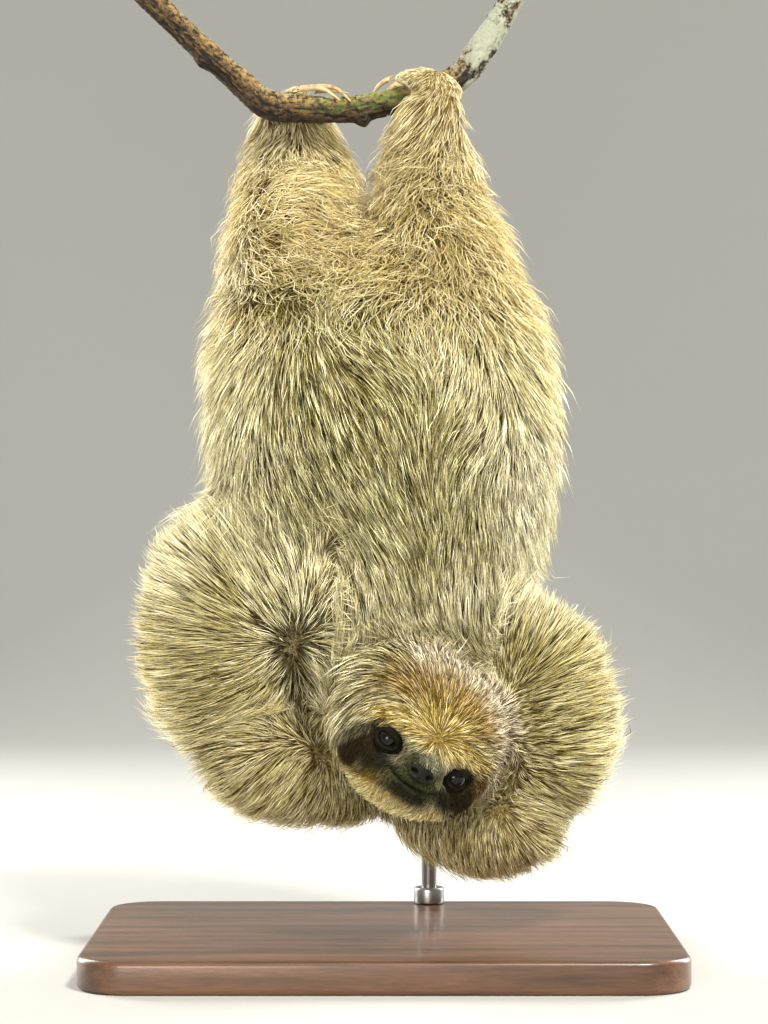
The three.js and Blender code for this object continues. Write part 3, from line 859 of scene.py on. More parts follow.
# ---------------------------------------------------------------------------------------------
# Coat. Coarse straw-coloured hair over a dark undercoat, laid as solid three-sided strands that
# start in the skin, follow the lie of the coat and gather into tufts at their tips.
# ---------------------------------------------------------------------------------------------
frame_middle = (384, 512)  # dots across and down the camera's frame, which is 768 by 1024
middle_height = 224.5  # millimetres above the floor, at the middle of the frame
dots_per_mm = 2.07  # at the depth of the back
back_strokes = [  # dots across and down the frame, and the heading of the hair: 0 is +X and -90 is down
    (215, 240, -150), (240, 250, -70), (262, 240, -45), (300, 240, -30), (340, 245, -60), (380, 250, -105),
    (410, 260, -128), (438, 250, -118), (455, 262, -90), (475, 255, -60), (500, 250, -45), (515, 262, -35),
    (215, 285, -170), (245, 285, -25), (280, 268, -25), (320, 282, -60), (350, 295, -135), (370, 300, -140),
    (400, 290, -125), (430, 290, -110), (455, 300, -92), (480, 300, -75), (500, 290, -50), (515, 300, -40),
    (200, 330, 165), (225, 330, -170), (250, 330, -120), (290, 335, -95), (320, 335, -50), (350, 335, -30),
    (380, 335, -38), (400, 340, -60), (420, 340, -85), (440, 330, -112), (465, 335, -118), (480, 340, -100),
    (500, 330, -75), (525, 340, -35), (540, 350, -15), (195, 360, 175), (215, 370, -170), (245, 370, -110),
    (270, 375, -98), (290, 375, -85), (315, 370, -68), (345, 365, -48), (380, 365, -38), (400, 370, -55),
    (420, 370, -88), (440, 375, -118), (465, 375, -125), (485, 375, -100), (505, 375, -70), (535, 380, -20),
    (555, 385, -10), (205, 410, -150), (225, 410, -115), (250, 410, -80), (280, 410, -68), (310, 410, -66),
    (340, 410, -66), (370, 410, -66), (400, 410, -80), (430, 410, -95), (455, 402, -130), (480, 405, -145),
    (500, 405, -120), (530, 400, -40), (555, 410, -20), (205, 450, -140), (225, 450, -95), (250, 450, -62),
    (280, 450, -55), (310, 450, -60), (340, 450, -64), (370, 450, -68), (400, 450, -75), (430, 450, -84),
    (452, 450, -92), (470, 445, -165), (490, 445, -150), (507, 450, -100), (530, 450, -88), (550, 450, -60),
    (215, 490, -95), (240, 490, -75), (270, 490, -58), (300, 490, -55), (330, 490, -56), (360, 490, -55),
    (400, 490, -68), (430, 490, -82), (455, 490, -98), (475, 490, -92), (500, 490, -88), (530, 490, -86),
    (552, 490, -70), (340, 530, -58), (380, 530, -60), (420, 530, -78), (450, 540, -105), (480, 540, -95),
    (520, 540, -90), (550, 540, -75), (350, 585, -92), (380, 580, -72), (420, 580, -80), (460, 580, -100),
    (500, 580, -88), (540, 572, -70), (340, 625, -85), (380, 620, -65), (420, 620, -75), (460, 620, -95),
    (490, 640, -30),
]


def on_the_back(strokes):
    """x and z in whole millimetres, and the heading, of strokes placed in the camera's frame."""
    placed = []
    for across, down, heading in strokes:
        x = (across - frame_middle[0]) / dots_per_mm
        z = middle_height - (down - frame_middle[1]) / dots_per_mm
        placed.append((round(x), round(z), heading))
    return placed


comb = on_the_back(back_strokes)
leg_comb = [  # the same for the legs: x and z in millimetres, and the heading
    (-68, 402, -130), (-58, 412, -105), (-45, 408, -88), (-30, 404, -72), (-22, 392, -65),
    (-74, 380, -170), (-62, 384, -35), (-48, 388, -10), (-34, 384, -25), (-22, 376, -60),
    (-80, 358, -170), (-66, 360, -20), (-50, 362, -10), (-34, 360, -25), (-20, 356, -60),
    (6, 420, -150), (16, 424, -130), (28, 420, -118), (36, 412, -95), (10, 398, -140), (22, 398, -120),
    (38, 396, -80), (2, 376, -110), (18, 376, -95), (34, 376, -70), (48, 376, -50), (56, 360, -45),
]
creases = {  # the line on each side that the hair of the folded arm runs away from
    "right": [(-45, 160), (-44, 146), (-41, 116), (-26, 96), (-7, 78)],
    "left": [(59, 133), (64, 113), (66, 99), (57, 78), (32, 70)],
}
whorl = np.array([0.2, -43.0, 1.9])  # the place on the brow that the hair of the head runs away from


def combed(places, strokes, reach=13.0):
    """Directions blended from the nearest strokes of a comb."""
    strokes = np.array(strokes, dtype=float)
    ways = np.stack([np.cos(np.radians(strokes[:, 2])), np.sin(np.radians(strokes[:, 2]))], axis=1)
    flat = places[:, [0, 2]]
    total = np.zeros((len(places), 2)) + [0.0, -1e-6]
    for stroke, way in zip(strokes, ways):
        total += way * np.exp(-((length_of(flat - stroke[:2]) / reach) ** 2))[:, None]
    total = unit(total * 1e3)
    return np.stack([total[:, 0], np.zeros(len(places)), total[:, 1]], axis=1)


def away_from_crease(places, line):
    flat = places[:, [0, 2]]
    line = np.array(line, dtype=float)
    best, far = None, None
    for start, stop in zip(line[:-1], line[1:]):
        along = stop - start
        share = np.clip(((flat - start) @ along) / (along @ along), 0, 1)
        near = start + share[:, None] * along
        gap = length_of(flat - near)
        if best is None:
            best, far = near, gap
        else:
            best = np.where((gap < far)[:, None], near, best)
            far = np.minimum(gap, far)
    way = unit(flat - best)
    return np.stack([way[:, 0], np.zeros(len(places)), way[:, 1]], axis=1)


def swept_on_head(places):
    """Away from the whorl, and on the animal's right curling over the crown and down past the ear."""
    local = to_head(places)
    offset = local - whorl
    heading = np.degrees(np.arctan2(offset[:, 2], offset[:, 0]))
    heading = np.where(heading < -60, heading + 360, heading)
    curl = np.radians(85) * rise(heading, 112, 196) * (1 - rise(heading, 218, 236))
    curl = curl * rise(length_of(offset), 8, 42)
    turn = np.stack([
        offset[:, 0] * np.cos(curl) - offset[:, 2] * np.sin(curl), offset[:, 1],
        offset[:, 0] * np.sin(curl) + offset[:, 2] * np.cos(curl)], axis=1)
    return unit(turn @ head_turn.T)


def lie_of_coat(places, surface, parts_at):
    """The way the hair points at each place on the skin, along the skin."""
    names = np.array([part_of(node) for node in flesh])[parts_at]
    x, y, z = places.T

    # The back follows the comb, and the belly side hangs straight down.
    ways = combed(places, comb)
    belly = rise(y, 0, 30)[:, None]
    round_the_side = np.stack([x * 0.004, -np.full(len(places), 0.35), -np.ones(len(places))], axis=1)
    ways = ways * (1 - belly) + round_the_side * belly
    outward = np.sign(x - np.where(x < -10, -44, 24))
    down = np.stack([0.35 * outward, np.zeros(len(places)), -np.ones(len(places))], axis=1)
    on_leg = np.isin(names, ["thigh", "shin"]) * rise(z, 340, 366)
    leg_ways = combed(places, leg_comb, 11.0) * (1 - belly) + down * belly
    ways = ways * (1 - on_leg[:, None]) + leg_ways * on_leg[:, None]

    # On each folded arm the hair fans out from the crease beside the head and turns down behind.
    fans = {"right": (z < 223) & (x < -27), "left": (z < 187) & (x > 50)}
    for side, share in fans.items():
        own = np.array([group_of(node).endswith(f"_{side}") for node in flesh])[parts_at]
        fanned = share & (own | ((names == "trunk") & (y < 4)))
        away = away_from_crease(places[fanned], creases[side])
        round_back = (rise(surface[fanned][:, 1], 0.1, 0.7) * rise(y[fanned], -20, 12))[:, None]
        fan = away * (1 - 1.5 * round_back)
        ways[fanned] = fan + [0, 0.45, 0] * (1 - round_back) + [0, 0, -0.5] * round_back

    # The hair of the feet lies over the branch, and that of the hands towards the claws.
    foot = names == "foot"
    swing = np.radians(-165 + 65 * rise(x[foot], 10, 30))
    over_branch = np.stack([np.cos(swing), np.full(len(swing), 0.15), np.sin(swing)], axis=1)
    ways[foot] = np.where(x[foot, None] < -10, [[0.9, -0.25, 0.05]], over_branch)
    hand = names == "hand"
    ways[hand] = np.where(x[hand, None] > 0, [[0.7, 0.4, 0.6]], [[-0.7, 0.3, 0.6]])
    ways[names == "tail"] = [0, 0.8, -0.6]
    head = np.isin(names, ["head", "nose"])
    ways[head] = swept_on_head(places[head])
    ways = ways - surface * np.sum(ways * surface, axis=1)[:, None]
    return unit(ways)


lie = lie_of_coat(points, normals, parts)
lie = smoothed(lie, edges, 5)
lie = unit(lie - normals * np.sum(lie * normals, axis=1)[:, None])

head_place = to_head(points)
x, y, z = head_place.T
on_head = np.isin(parts, [flesh.index("head"), flesh.index("nose")])
eye_patch, muzzle, _ = face_marks.T
_, buff, cheek = ruff_marks.T
hood, _, pale = rim_marks.T
rump, dark_streak_and_shade, arm = body_marks.T

# How long the hair is, in millimetres.
hair_length = smoothed(by_part({
    "head": 10.0, "nose": 0.6, "neck": 16.0, "trunk": 20.0, "tail": 14.0, "thigh": 17.0, "shin": 14.0,
    "foot": 3.6, "upper_arm": 17.0, "forearm": 15.0, "hand": 7.0,
}, parts), edges, 16)
beside_head = length_of(head_place / (head_half + 1.0)) * 45 - 45
hair_length = hair_length * np.where(on_head, 1.0, 0.3 + 0.7 * rise(beside_head, 2, 30))
from_whorl = length_of(head_place - whorl)
short = np.maximum.reduce([eye_patch * 0.72, muzzle * 0.9, cheek * 0.35])
head_length = (6.5 + 4.5 * rise(from_whorl, 6, 60) + 13.0 * hood) * (1 - 0.85 * short)
hair_length = np.where(on_head, head_length, hair_length)
hair_length = smoothed(hair_length, edges, 2)

# Where there is none: on the nose pad, along the mouth and round the eyes.
in_front = on_head * (y < -20)
bare = (1 - rise(np.hypot(x / 7.9, (z + 16.6) / 4.9), 0.7, 1.1)) * in_front
bare = np.maximum(bare, bump(z - mouth_line(x), 1.1) * (np.abs(x) < 12.5) * in_front)
for side in eye_at:
    _, _, height, ring = slit_place(head_place, side)
    bare = np.maximum(bare, (1 - rise(ring, 1.25, 1.6)) * (height > -2) * on_head)
    hair_length = hair_length * np.where((height > -2) & on_head, 0.3 + 0.7 * rise(ring, 1.4, 2.6), 1.0)

# How unruly the coat is: the scatter of its tufts and how far they stand off the skin, in degrees,
# the curl of the hair, the pull of each tuft, how much its hairs differ and the share of dark ones.
woolly = rise(points[:, 2], 290, 345) * (1 - 0.8 * rise(points[:, 2], 392, 414))
scatter = smoothed(by_part({
    "head": 9, "nose": 3, "neck": 12, "trunk": 7, "tail": 14, "thigh": 10, "shin": 8, "foot": 6,
    "upper_arm": 5, "forearm": 5, "hand": 8,
}, parts), edges, 8) + 34 * woolly
curl = 0.05 + 0.24 * woolly + 0.05 * on_head
# More dark hairs in the dark streaks and in the painted shade that shares their mask.
dark_share = 0.14 + 0.07 * on_head + 0.26 * dark_streak_and_shade + 0.18 * hood + 0.01 * arm - 0.06 * woolly
# Fewer dark hairs where the coat is pale or buff and under the arms: partly their colour, partly painted
# light that lifts the shade there.
dark_share = dark_share - 0.05 * pale - 0.12 * buff - 0.1 * rump * (1 - rise(points[:, 2], 200, 260))
# More dark hairs in the crease of the right thigh: painted shade.
dark_share = dark_share + 0.35 * spot(points, (-50, -60, 332), (19, 70, 9))
on_feet = smoothed(np.array([part_of(node) == "foot" for node in flesh])[parts] * 1.0, edges, 6)
stand_up = 22 + 4 * woolly - 11 * on_head + 4 * hood + 2 * arm - 12 * on_feet
gather = 0.6 - 0.4 * woolly - 0.3 * arm - 0.2 * on_head
contrast = 0.18 + 0.13 * on_head + 0.12 * hood
for centre, size in (((-30, -40, 212), (16, 60, 26)), ((74, -30, 190), (20, 60, 14))):
    meeting = spot(points, centre, size)  # where the coat of the trunk meets that of an arm
    stand_up = stand_up * (1 - 0.5 * meeting)
    hair_length = hair_length * (1 - 0.3 * meeting)
elbow_fold = spot(points, (-90, -20, 112), (20, 50, 16))  # longer hair hides the fold under the elbow
hair_length = hair_length * (1 + 0.5 * elbow_fold)
under_arm = spot(points, (52, -40, 62), (40, 60, 24))
stand_up = stand_up + 10 * elbow_fold - 5 * under_arm
# Fewer dark hairs under the left arm: painted light that lifts the shade there.
dark_share = dark_share - 0.1 * under_arm

nearest_skin = kdtree.KDTree(len(points))
for number, place in enumerate(points):
    nearest_skin.insert(place, number)
nearest_skin.balance()


def nearest_on_skin(places):
    return np.array([nearest_skin.find(place)[1] for place in places])


def far_from_skin(places):
    return np.array([nearest_skin.find(place)[2] for place in places])


skin.data.calc_loop_triangles()
triangles = np.empty(len(skin.data.loop_triangles) * 3, dtype=np.int64)
skin.data.loop_triangles.foreach_get("vertices", triangles)
triangles = triangles.reshape(-1, 3)
corner_loops = np.empty(len(skin.data.loop_triangles) * 3, dtype=np.int64)
skin.data.loop_triangles.foreach_get("loops", corner_loops)
flat_places = np.empty(len(skin.data.loops) * 2)
skin.data.uv_layers["OFBake"].data.foreach_get("uv", flat_places)
corner_uv = flat_places.reshape(-1, 2)[corner_loops.reshape(-1, 3)]
sides = points[triangles]
triangle_area = 0.5 * length_of(np.cross(sides[:, 1] - sides[:, 0], sides[:, 2] - sides[:, 0]))
triangle_part = parts[triangles[:, 0]]
triangle_middle = sides.mean(axis=1)


def spread(values, chosen, weights):
    """Values at the skin's points, read at the roots."""
    at_corners = values[triangles[chosen]]
    if at_corners.ndim == 2:
        return np.sum(at_corners * weights, axis=1)
    return np.sum(at_corners * weights[:, :, None], axis=1)


patch_size = 0.003  # each strand's patch on the unwrapped skin
root_depth = 0.3  # millimetres that each strand is set into the skin
wool_share, wool_length, wool_stand, wool_tint = 0.25, 0.6, 0.55, 0.4  # the short, low, dark wool beneath
dark_tint = 0.3  # of a dark hair among the pale ones
longest_stride = 1.25  # of a strand's step along the skin, so that none jumps across a fold


def lay_coat(name, where, count, seed, width, steps, tuft):
    """Strands rooted on the triangles that where picks, gathered in tufts of about tuft strands."""
    dice = np.random.default_rng(seed)
    mask = where(triangle_middle, triangle_part)
    hairy = 1 - bare[triangles].mean(axis=1)
    mean_length = hair_length[triangles].mean(axis=1)
    facing = 1 - 0.5 * normals[triangles, 1].mean(axis=1)
    chance = triangle_area * mask * hairy * facing / np.maximum(mean_length, 1.5) ** 0.75
    chosen = dice.choice(len(triangles), size=count, p=chance / chance.sum())
    weights = dice.dirichlet((1, 1, 1), count)

    def at_root(values):
        return spread(values, chosen, weights)

    root, surface = at_root(points), unit(at_root(normals))
    leader = choose_leaders(root, dice, tuft)
    way = unit(at_root(lie))
    wool = dice.uniform(size=count) < wool_share
    length = at_root(hair_length) * np.exp(dice.normal(0, 0.2, count) + dice.normal(0, 0.12, count)[leader])
    length = length * np.where(wool, wool_length, 1.0)
    stray = 0.7 * dice.normal(0, 1, count)[leader] + 0.8 * dice.normal(0, 1, count)
    stray = np.radians(stray * at_root(scatter))
    sideways = np.cross(surface, way)
    way = unit(way * np.cos(stray)[:, None] + sideways * np.sin(stray)[:, None])
    stand = np.exp(np.clip(dice.normal(0, 0.22, count) + dice.normal(0, 0.22, count)[leader], -0.7, 0.5))
    stand = stand * np.radians(at_root(stand_up))
    stand = stand * np.where(wool, wool_stand, 1.0)

    # Each strand is walked out along the skin, and rises from it as it goes.
    paths = [root - surface * root_depth]
    here, height = root.copy(), np.zeros(count)
    reach = length / steps
    for step in range(steps):
        share = (step + 0.5) / steps
        lay = stand * (1.3 - 0.8 * share)
        before = here
        here = here + way * (reach * np.cos(lay))[:, None]
        height = height + reach * np.sin(lay)
        near = nearest_on_skin(here)
        normal = normals[near]
        here = here - normal * np.sum((here - points[near]) * normal, axis=1)[:, None]
        jump = here - before
        stride = longest_stride * reach / np.maximum(length_of(jump), 1e-6)
        here = before + jump * np.minimum(1, stride)[:, None]
        paths.append(here + normal * height[:, None])
        agree = rise(np.sum(way * lie[near], axis=1), 0.0, 0.7)[:, None] * 0.35
        way = unit(way * (1 - agree) + lie[near] * agree)
        way = unit(way - normal * np.sum(way * normal, axis=1)[:, None])
    paths = np.stack(paths, axis=1)

    # It is bent sideways and drawn towards the middle strand of its tuft.
    bend = np.clip(dice.normal(0, 0.6, count) + dice.normal(0, 1, count)[leader], -1.8, 1.8)
    bend = bend * at_root(curl) * length
    arc = np.sin(np.linspace(0, math.pi * 0.85, steps + 1))
    paths = paths + np.cross(surface, way)[:, None, :] * bend[:, None, None] * arc[None, :, None]
    pull = dice.uniform(0.2, 1.0, count) * at_root(gather) * (1 - rise(length_of(root[leader] - root), 5, 10))
    draw = pull[:, None] * np.linspace(0, 1, steps + 1)[None, :] ** 1.5
    paths = paths + (paths[leader] - paths) * draw[:, :, None]
    off_skin = np.maximum(far_from_skin(paths[:, -2]), far_from_skin(paths[:, -1]))
    keep = np.where(off_skin > 9 + 0.25 * length, 0.3, 1.0)  # one that has left the body is shortened
    paths = root[:, None] + (paths - root[:, None]) * keep[:, None, None]

    wide = width * np.exp(dice.normal(0, 0.2, count)) * np.clip(length / 26.0, 0.3, 1) ** 0.4
    piece = build_strands(name, paths, wide, surface)
    tint = np.exp(dice.normal(0, 1, count) * at_root(contrast) + dice.normal(0, 0.1, count)[leader])
    luck = 0.75 * dice.uniform(size=count) + 0.25 * dice.uniform(size=count)[leader]
    dark = luck < at_root(dark_share) + 0.05
    tint = tint * np.where(dark, dark_tint, 1.0) * np.where(wool, wool_tint, 1.0)
    finish_coat(piece, chosen, weights, tint, dice.uniform(size=count), steps)


def choose_leaders(root, dice, tuft):
    """For each strand, the number of the strand at the middle of its tuft."""
    leaders = dice.permutation(len(root))[: max(8, len(root) // tuft)]
    tree = kdtree.KDTree(len(leaders))
    for number, leader in enumerate(leaders):
        tree.insert(root[leader], number)
    tree.balance()
    return np.array([leaders[tree.find(place)[1]] for place in root])


def build_strands(name, paths, wide, surface):
    """Closed three-sided strands: a ring at each step but the last, which is a point."""
    count, rings = paths.shape[0], paths.shape[1] - 1
    runs = unit(np.diff(paths, axis=1))
    taper = np.array([1.0, 0.95, 0.72, 0.45, 0.3])[:rings] if rings > 2 else np.array([1.0, 0.8])[:rings]
    corners = np.radians([90, 210, 330])
    per = rings * 3 + 1
    verts = np.empty((count, per, 3))
    for ring in range(rings):
        run = runs[:, ring] if ring == 0 else unit(runs[:, ring - 1] + runs[:, ring])
        across = unit(np.cross(run, surface))
        above = np.cross(across, run)
        for corner, turned in enumerate(corners):
            offset = across * math.cos(turned) + above * (math.sin(turned) * 0.75)
            verts[:, ring * 3 + corner] = paths[:, ring] + offset * (wide * 0.5 * taper[ring])[:, None]
    verts[:, -1] = paths[:, -1]
    faces = [(0, 2, 1)]
    for ring in range(rings - 1):
        low, high = ring * 3, ring * 3 + 3
        for corner in range(3):
            after = (corner + 1) % 3
            faces.append((low + corner, low + after, high + after))
            faces.append((low + corner, high + after, high + corner))
    last = (rings - 1) * 3
    for corner in range(3):
        faces.append((last + corner, last + (corner + 1) % 3, per - 1))
    faces = np.array(faces)
    all_faces = (faces[None] + (np.arange(count) * per)[:, None, None]).reshape(-1, 3)
    mesh = bpy.data.meshes.new(name)
    mesh.vertices.add(count * per)
    mesh.vertices.foreach_set("co", (verts * mm).ravel())
    mesh.loops.add(len(all_faces) * 3)
    mesh.loops.foreach_set("vertex_index", all_faces.ravel())
    mesh.polygons.add(len(all_faces))
    mesh.polygons.foreach_set("loop_start", np.arange(len(all_faces)) * 3)
    mesh.polygons.foreach_set("loop_total", np.full(len(all_faces), 3))
    mesh.update(calc_edges=True)
    mesh.polygons.foreach_set("use_smooth", np.ones(len(all_faces), dtype=bool))
    piece = bpy.data.objects.new(name, mesh)
    bpy.context.scene.collection.objects.link(piece)
    return piece


def finish_coat(piece, chosen, weights, tint, kind, steps):
    mesh, count, per = piece.data, len(chosen), steps * 3 + 1
    along = np.repeat(np.arange(steps + 1) / steps, [3] * steps + [1])
    hair = np.stack([np.tile(along, count), np.repeat(tint, per), np.repeat(kind, per)], axis=1)
    keep_vectors(mesh, "hair", hair)
    keep_marks(mesh, {name: np.repeat(spread(v, chosen, weights), per, axis=0) for name, v in marks.items()})
    root_uv = np.sum(corner_uv[chosen] * weights[:, :, None], axis=1)
    around = np.tile([0.0, 0.5, 1.0], steps + 1)[:per]
    around[-1] = 0.5
    patch = np.stack([around - 0.5, along - 0.5], axis=1) * patch_size
    patch[:3, 1] += np.array([0.0, -0.12, 0.0]) * patch_size
    place = root_uv[:, None, :] + patch[None]
    layer = mesh.uv_layers.new(name="OFBake")
    corner_of = np.empty(len(mesh.loops), dtype=np.int64)
    mesh.loops.foreach_get("vertex_index", corner_of)
    layer.data.foreach_set("uv", place.reshape(-1, 2)[corner_of].ravel())
    mesh.materials.append(coat_finish)
    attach(piece, "root")


def coat_material():
    material, nodes, links, shader = begin_material("coat_hair", tone(200, 180, 120), 0.5)
    group = place_markings(material)
    hair = nodes.new("ShaderNodeSeparateXYZ")
    links.new(attribute_node(nodes, "hair").outputs["Vector"], hair.inputs[0])
    along = nodes.new("ShaderNodeMapRange")
    along.interpolation_type = "SMOOTHSTEP"
    along.inputs["From Min"].default_value = 0.06
    along.inputs["From Max"].default_value = 0.6
    links.new(hair.outputs[0], along.inputs["Value"])
    links.new(along.outputs[0], group.inputs["Along"])
    links.new(hair.outputs[1], group.inputs["Tint"])
    links.new(group.outputs["Color"], shader.inputs["Base Color"])
    links.new(ranged(nodes, links, hair.outputs[2], 0.4, 0.62), shader.inputs["Roughness"])
    shader.inputs["Specular IOR Level"].default_value = 0.16
    return material


coat_finish = coat_material()


def face_triangles(middles):
    return face_share(to_head(middles)) > 0.45


def in_parts(*names):
    numbers = [i for i, node in enumerate(flesh) if node in names or part_of(node) in names]
    return lambda middles, owners: np.isin(owners, numbers)


def back_between(low, high):
    own = in_parts("trunk", "tail")
    return lambda m, p: own(m, p) & (m[:, 1] < 12) & (m[:, 2] >= low) & (m[:, 2] < high)


lay_coat("coat_loins", back_between(272, 500), 12300, 11, 0.5, 3, 6)
lay_coat("coat_shoulders", back_between(0, 272), 19500, 12, 0.46, 2, 8)
lay_coat("coat_belly", lambda m, p: in_parts("trunk", "tail")(m, p) & (m[:, 1] >= 12), 9000, 13, 0.8, 2, 8)
for number, side in enumerate(("right", "left")):
    arm_parts = in_parts(f"upper_arm_{side}", f"forearm_{side}", f"hand_{side}")
    leg_parts = in_parts(f"thigh_{side}", f"shin_{side}", f"foot_{side}")
    lay_coat(f"coat_arm_{side}", arm_parts, 19500, 14 + number, 0.46, 2, 6)
    lay_coat(f"coat_leg_{side}", leg_parts, 9600, 16 + number, 0.46, 3, 5)
lay_coat("coat_head", lambda m, p: in_parts("head", "nose", "neck")(m, p) & ~face_triangles(m),
         12300, 18, 0.4, 3, 5)
lay_coat("coat_face", lambda m, p: in_parts("head", "nose")(m, p) & face_triangles(m),
         10500, 19, 0.32, 3, 4)

# ---------------------------------------------------------------------------------------------
# Claws. Long hooked horn sheaths, pale beige, with fine lengthwise streaks. Each grows out of the
# hair of a foot or hand, and the foot claws bear on the branch.
# ---------------------------------------------------------------------------------------------


def claw_material():
    material, nodes, links, shader = begin_material("claw_horn", tone(214, 190, 156), 0.34)
    place = nodes.new("ShaderNodeTexCoord").outputs["Object"]
    streaks = noise_at(nodes, links, place, 420.0, 5.0, 0.65)
    horn = ramp_of(nodes, links, streaks, [(0.3, tone(134, 106, 68)), (0.62, tone(208, 184, 138))])
    links.new(horn, shader.inputs["Base Color"])
    links.new(ranged(nodes, links, streaks, 0.25, 0.45), shader.inputs["Roughness"])
    add_relief(material, streaks, 0.25, 0.15 * mm)
    return material


claw_finish = claw_material()
for limb in ("right_foot", "left_foot", "right_hand", "left_hand"):
    for number in (1, 2, 3):
        node = f"claw_{limb}_{number}"
        claw = copy_of(node)
        claw.name = f"horn_{limb}_{number}"
        claw.data.materials.clear()
        apply_modifier(claw, "SUBSURF", levels=2, render_levels=2)
        pick(claw)
        bpy.ops.object.shade_smooth()
        claw.data.materials.append(claw_finish)
        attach(claw, "root")
        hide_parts(node)

# ---------------------------------------------------------------------------------------------
# Branch. A cut length of living branch in rough brown bark that splits into lengthwise plates,
# with grey-green lichen on its upper side, a patch of moss and a broken stub below.
# ---------------------------------------------------------------------------------------------
branch_path = [  # x, y, z and radius in millimetres
    (-126, 4, 491.5, 6.2), (-115.8, 3, 480.5, 6.3), (-95.5, 2, 460.5, 6.1), (-74.5, 1, 441.8, 6.5),
    (-59, 0, 428.6, 7.4), (-42, 0, 426, 7.1), (-22, 0, 425.5, 6.6), (-4.5, 0, 428, 6.6), (18, 0, 432.8, 6.7),
    (38, 0, 442.5, 7.1), (51.5, 1, 460.5, 7), (63.5, 2, 480.5, 5.8), (69, 3, 490, 5.6),
]
bark_rings, bark_sides = 520, 64


def smooth_path(rows, count):
    """Points spaced evenly along a smooth curve through the rows, with their radii."""
    rows = np.array(rows, dtype=float)
    dense = []
    for i in range(len(rows) - 1):
        before, start, stop = rows[max(i - 1, 0)], rows[i], rows[i + 1]
        after = rows[min(i + 2, len(rows) - 1)]
        square = 2 * before - 5 * start + 4 * stop - after
        cube = 3 * start - before - 3 * stop + after
        for t in np.linspace(0, 1, 40, endpoint=False):
            dense.append(0.5 * (2 * start + (stop - before) * t + square * t**2 + cube * t**3))
    dense = np.array(dense + [rows[-1]])
    run = np.concatenate([[0], np.cumsum(length_of(np.diff(dense[:, :3], axis=0)))])
    even = np.linspace(0, run[-1], count)
    return np.stack([np.interp(even, run, dense[:, c]) for c in range(4)], axis=1), even


def bark_height(along, turned, radius):
    """How far the bark stands out or in, from places along and round the branch, in millimetres."""
    height = np.empty(along.shape)
    for index in np.ndindex(along.shape):
        s, a, r = along[index], turned[index], radius[index]
        c, d = math.cos(a) * r, math.sin(a) * r
        warp = noise.noise(Vector((s * 0.05, c * 0.3, d * 0.3))) * 2.2
        plates = 1 - abs(noise.noise(Vector((s * 0.085 + warp, c * 0.52, d * 0.52))) * 2)
        chips = noise.noise(Vector((s * 0.42, c * 1.1, d * 1.1 + 7)))
        grit = noise.noise(Vector((s * 1.6, c * 1.8, d * 1.8 + 3)))
        lumps = noise.noise(Vector((s * 0.06, c * 0.11, d * 0.11 + 5)))
        height[index] = 0.55 * lumps - 1.05 * max(0.0, plates - 0.58) / 0.42 + 0.5 * chips + 0.2 * grit
    return height


centre, run = smooth_path(branch_path, bark_rings)
ahead = unit(np.gradient(centre[:, :3], axis=0))
deep = np.array([0, 1.0, 0])
over = unit(np.cross(ahead, deep))
behind = np.cross(over, ahead)
turned = np.linspace(0, 2 * math.pi, bark_sides, endpoint=False)
grid_run, grid_turn = np.meshgrid(run, turned, indexing="ij")
grid_radius = np.repeat(centre[:, 3:4], bark_sides, axis=1)
relief = bark_height(grid_run, grid_turn, grid_radius)
knots = [  # x, z, height and reach of each knot or hollow in the bark, in millimetres
    (-91.0, 449.0, 2.0, 4.2), (-70.0, 434.0, -1.2, 2.6), (-10.5, 420.5, 3.4, 3.6), (60.0, 452.0, 1.3, 3.0),
]
thick = grid_radius + relief - 0.1
bark = (centre[:, None, :3] + over[:, None, :] * (np.cos(grid_turn) * thick)[:, :, None]
        + behind[:, None, :] * (np.sin(grid_turn) * thick)[:, :, None])
for x, z, height, reach in knots:
    far = np.hypot(bark[:, :, 0] - x, bark[:, :, 2] - z)
    far = np.hypot(far, bark[:, :, 1] * 0.7)
    push = height * bump(far, reach)
    bark += unit(bark - centre[:, None, :3]) * push[:, :, None]

bark_faces = []
for i in range(bark_rings - 1):
    for j in range(bark_sides):
        k = (j + 1) % bark_sides
        low, high = i * bark_sides, (i + 1) * bark_sides
        bark_faces.append((low + j, low + k, high + k, high + j))
last_ring = (bark_rings - 1) * bark_sides
bark_points = np.concatenate([bark.reshape(-1, 3), centre[[0, -1], :3]])
for j in range(bark_sides):
    k = (j + 1) % bark_sides
    bark_faces.append((len(bark_points) - 2, k, j))
    bark_faces.append((len(bark_points) - 1, last_ring + j, last_ring + k))
bark_mesh = bpy.data.meshes.new("branch_bark")
bark_mesh.from_pydata((bark_points * mm).tolist(), [], bark_faces)
branch = bpy.data.objects.new("branch_bark", bark_mesh)
bpy.context.scene.collection.objects.link(branch)
edit_all(branch, bpy.ops.mesh.normals_make_consistent, inside=False)
bpy.ops.object.shade_smooth()
ring_height = np.concatenate([relief.ravel(), [0, 0]])
up_share = np.concatenate([(bark - centre[:, None, :3])[:, :, 2].ravel() / 7, [0, 0]])
from_end = np.concatenate([np.minimum(grid_run, run[-1] - grid_run).ravel(), [-1, -1]])
keep_vectors(bark_mesh, "bark", np.stack([ring_height, up_share, from_end], axis=1))


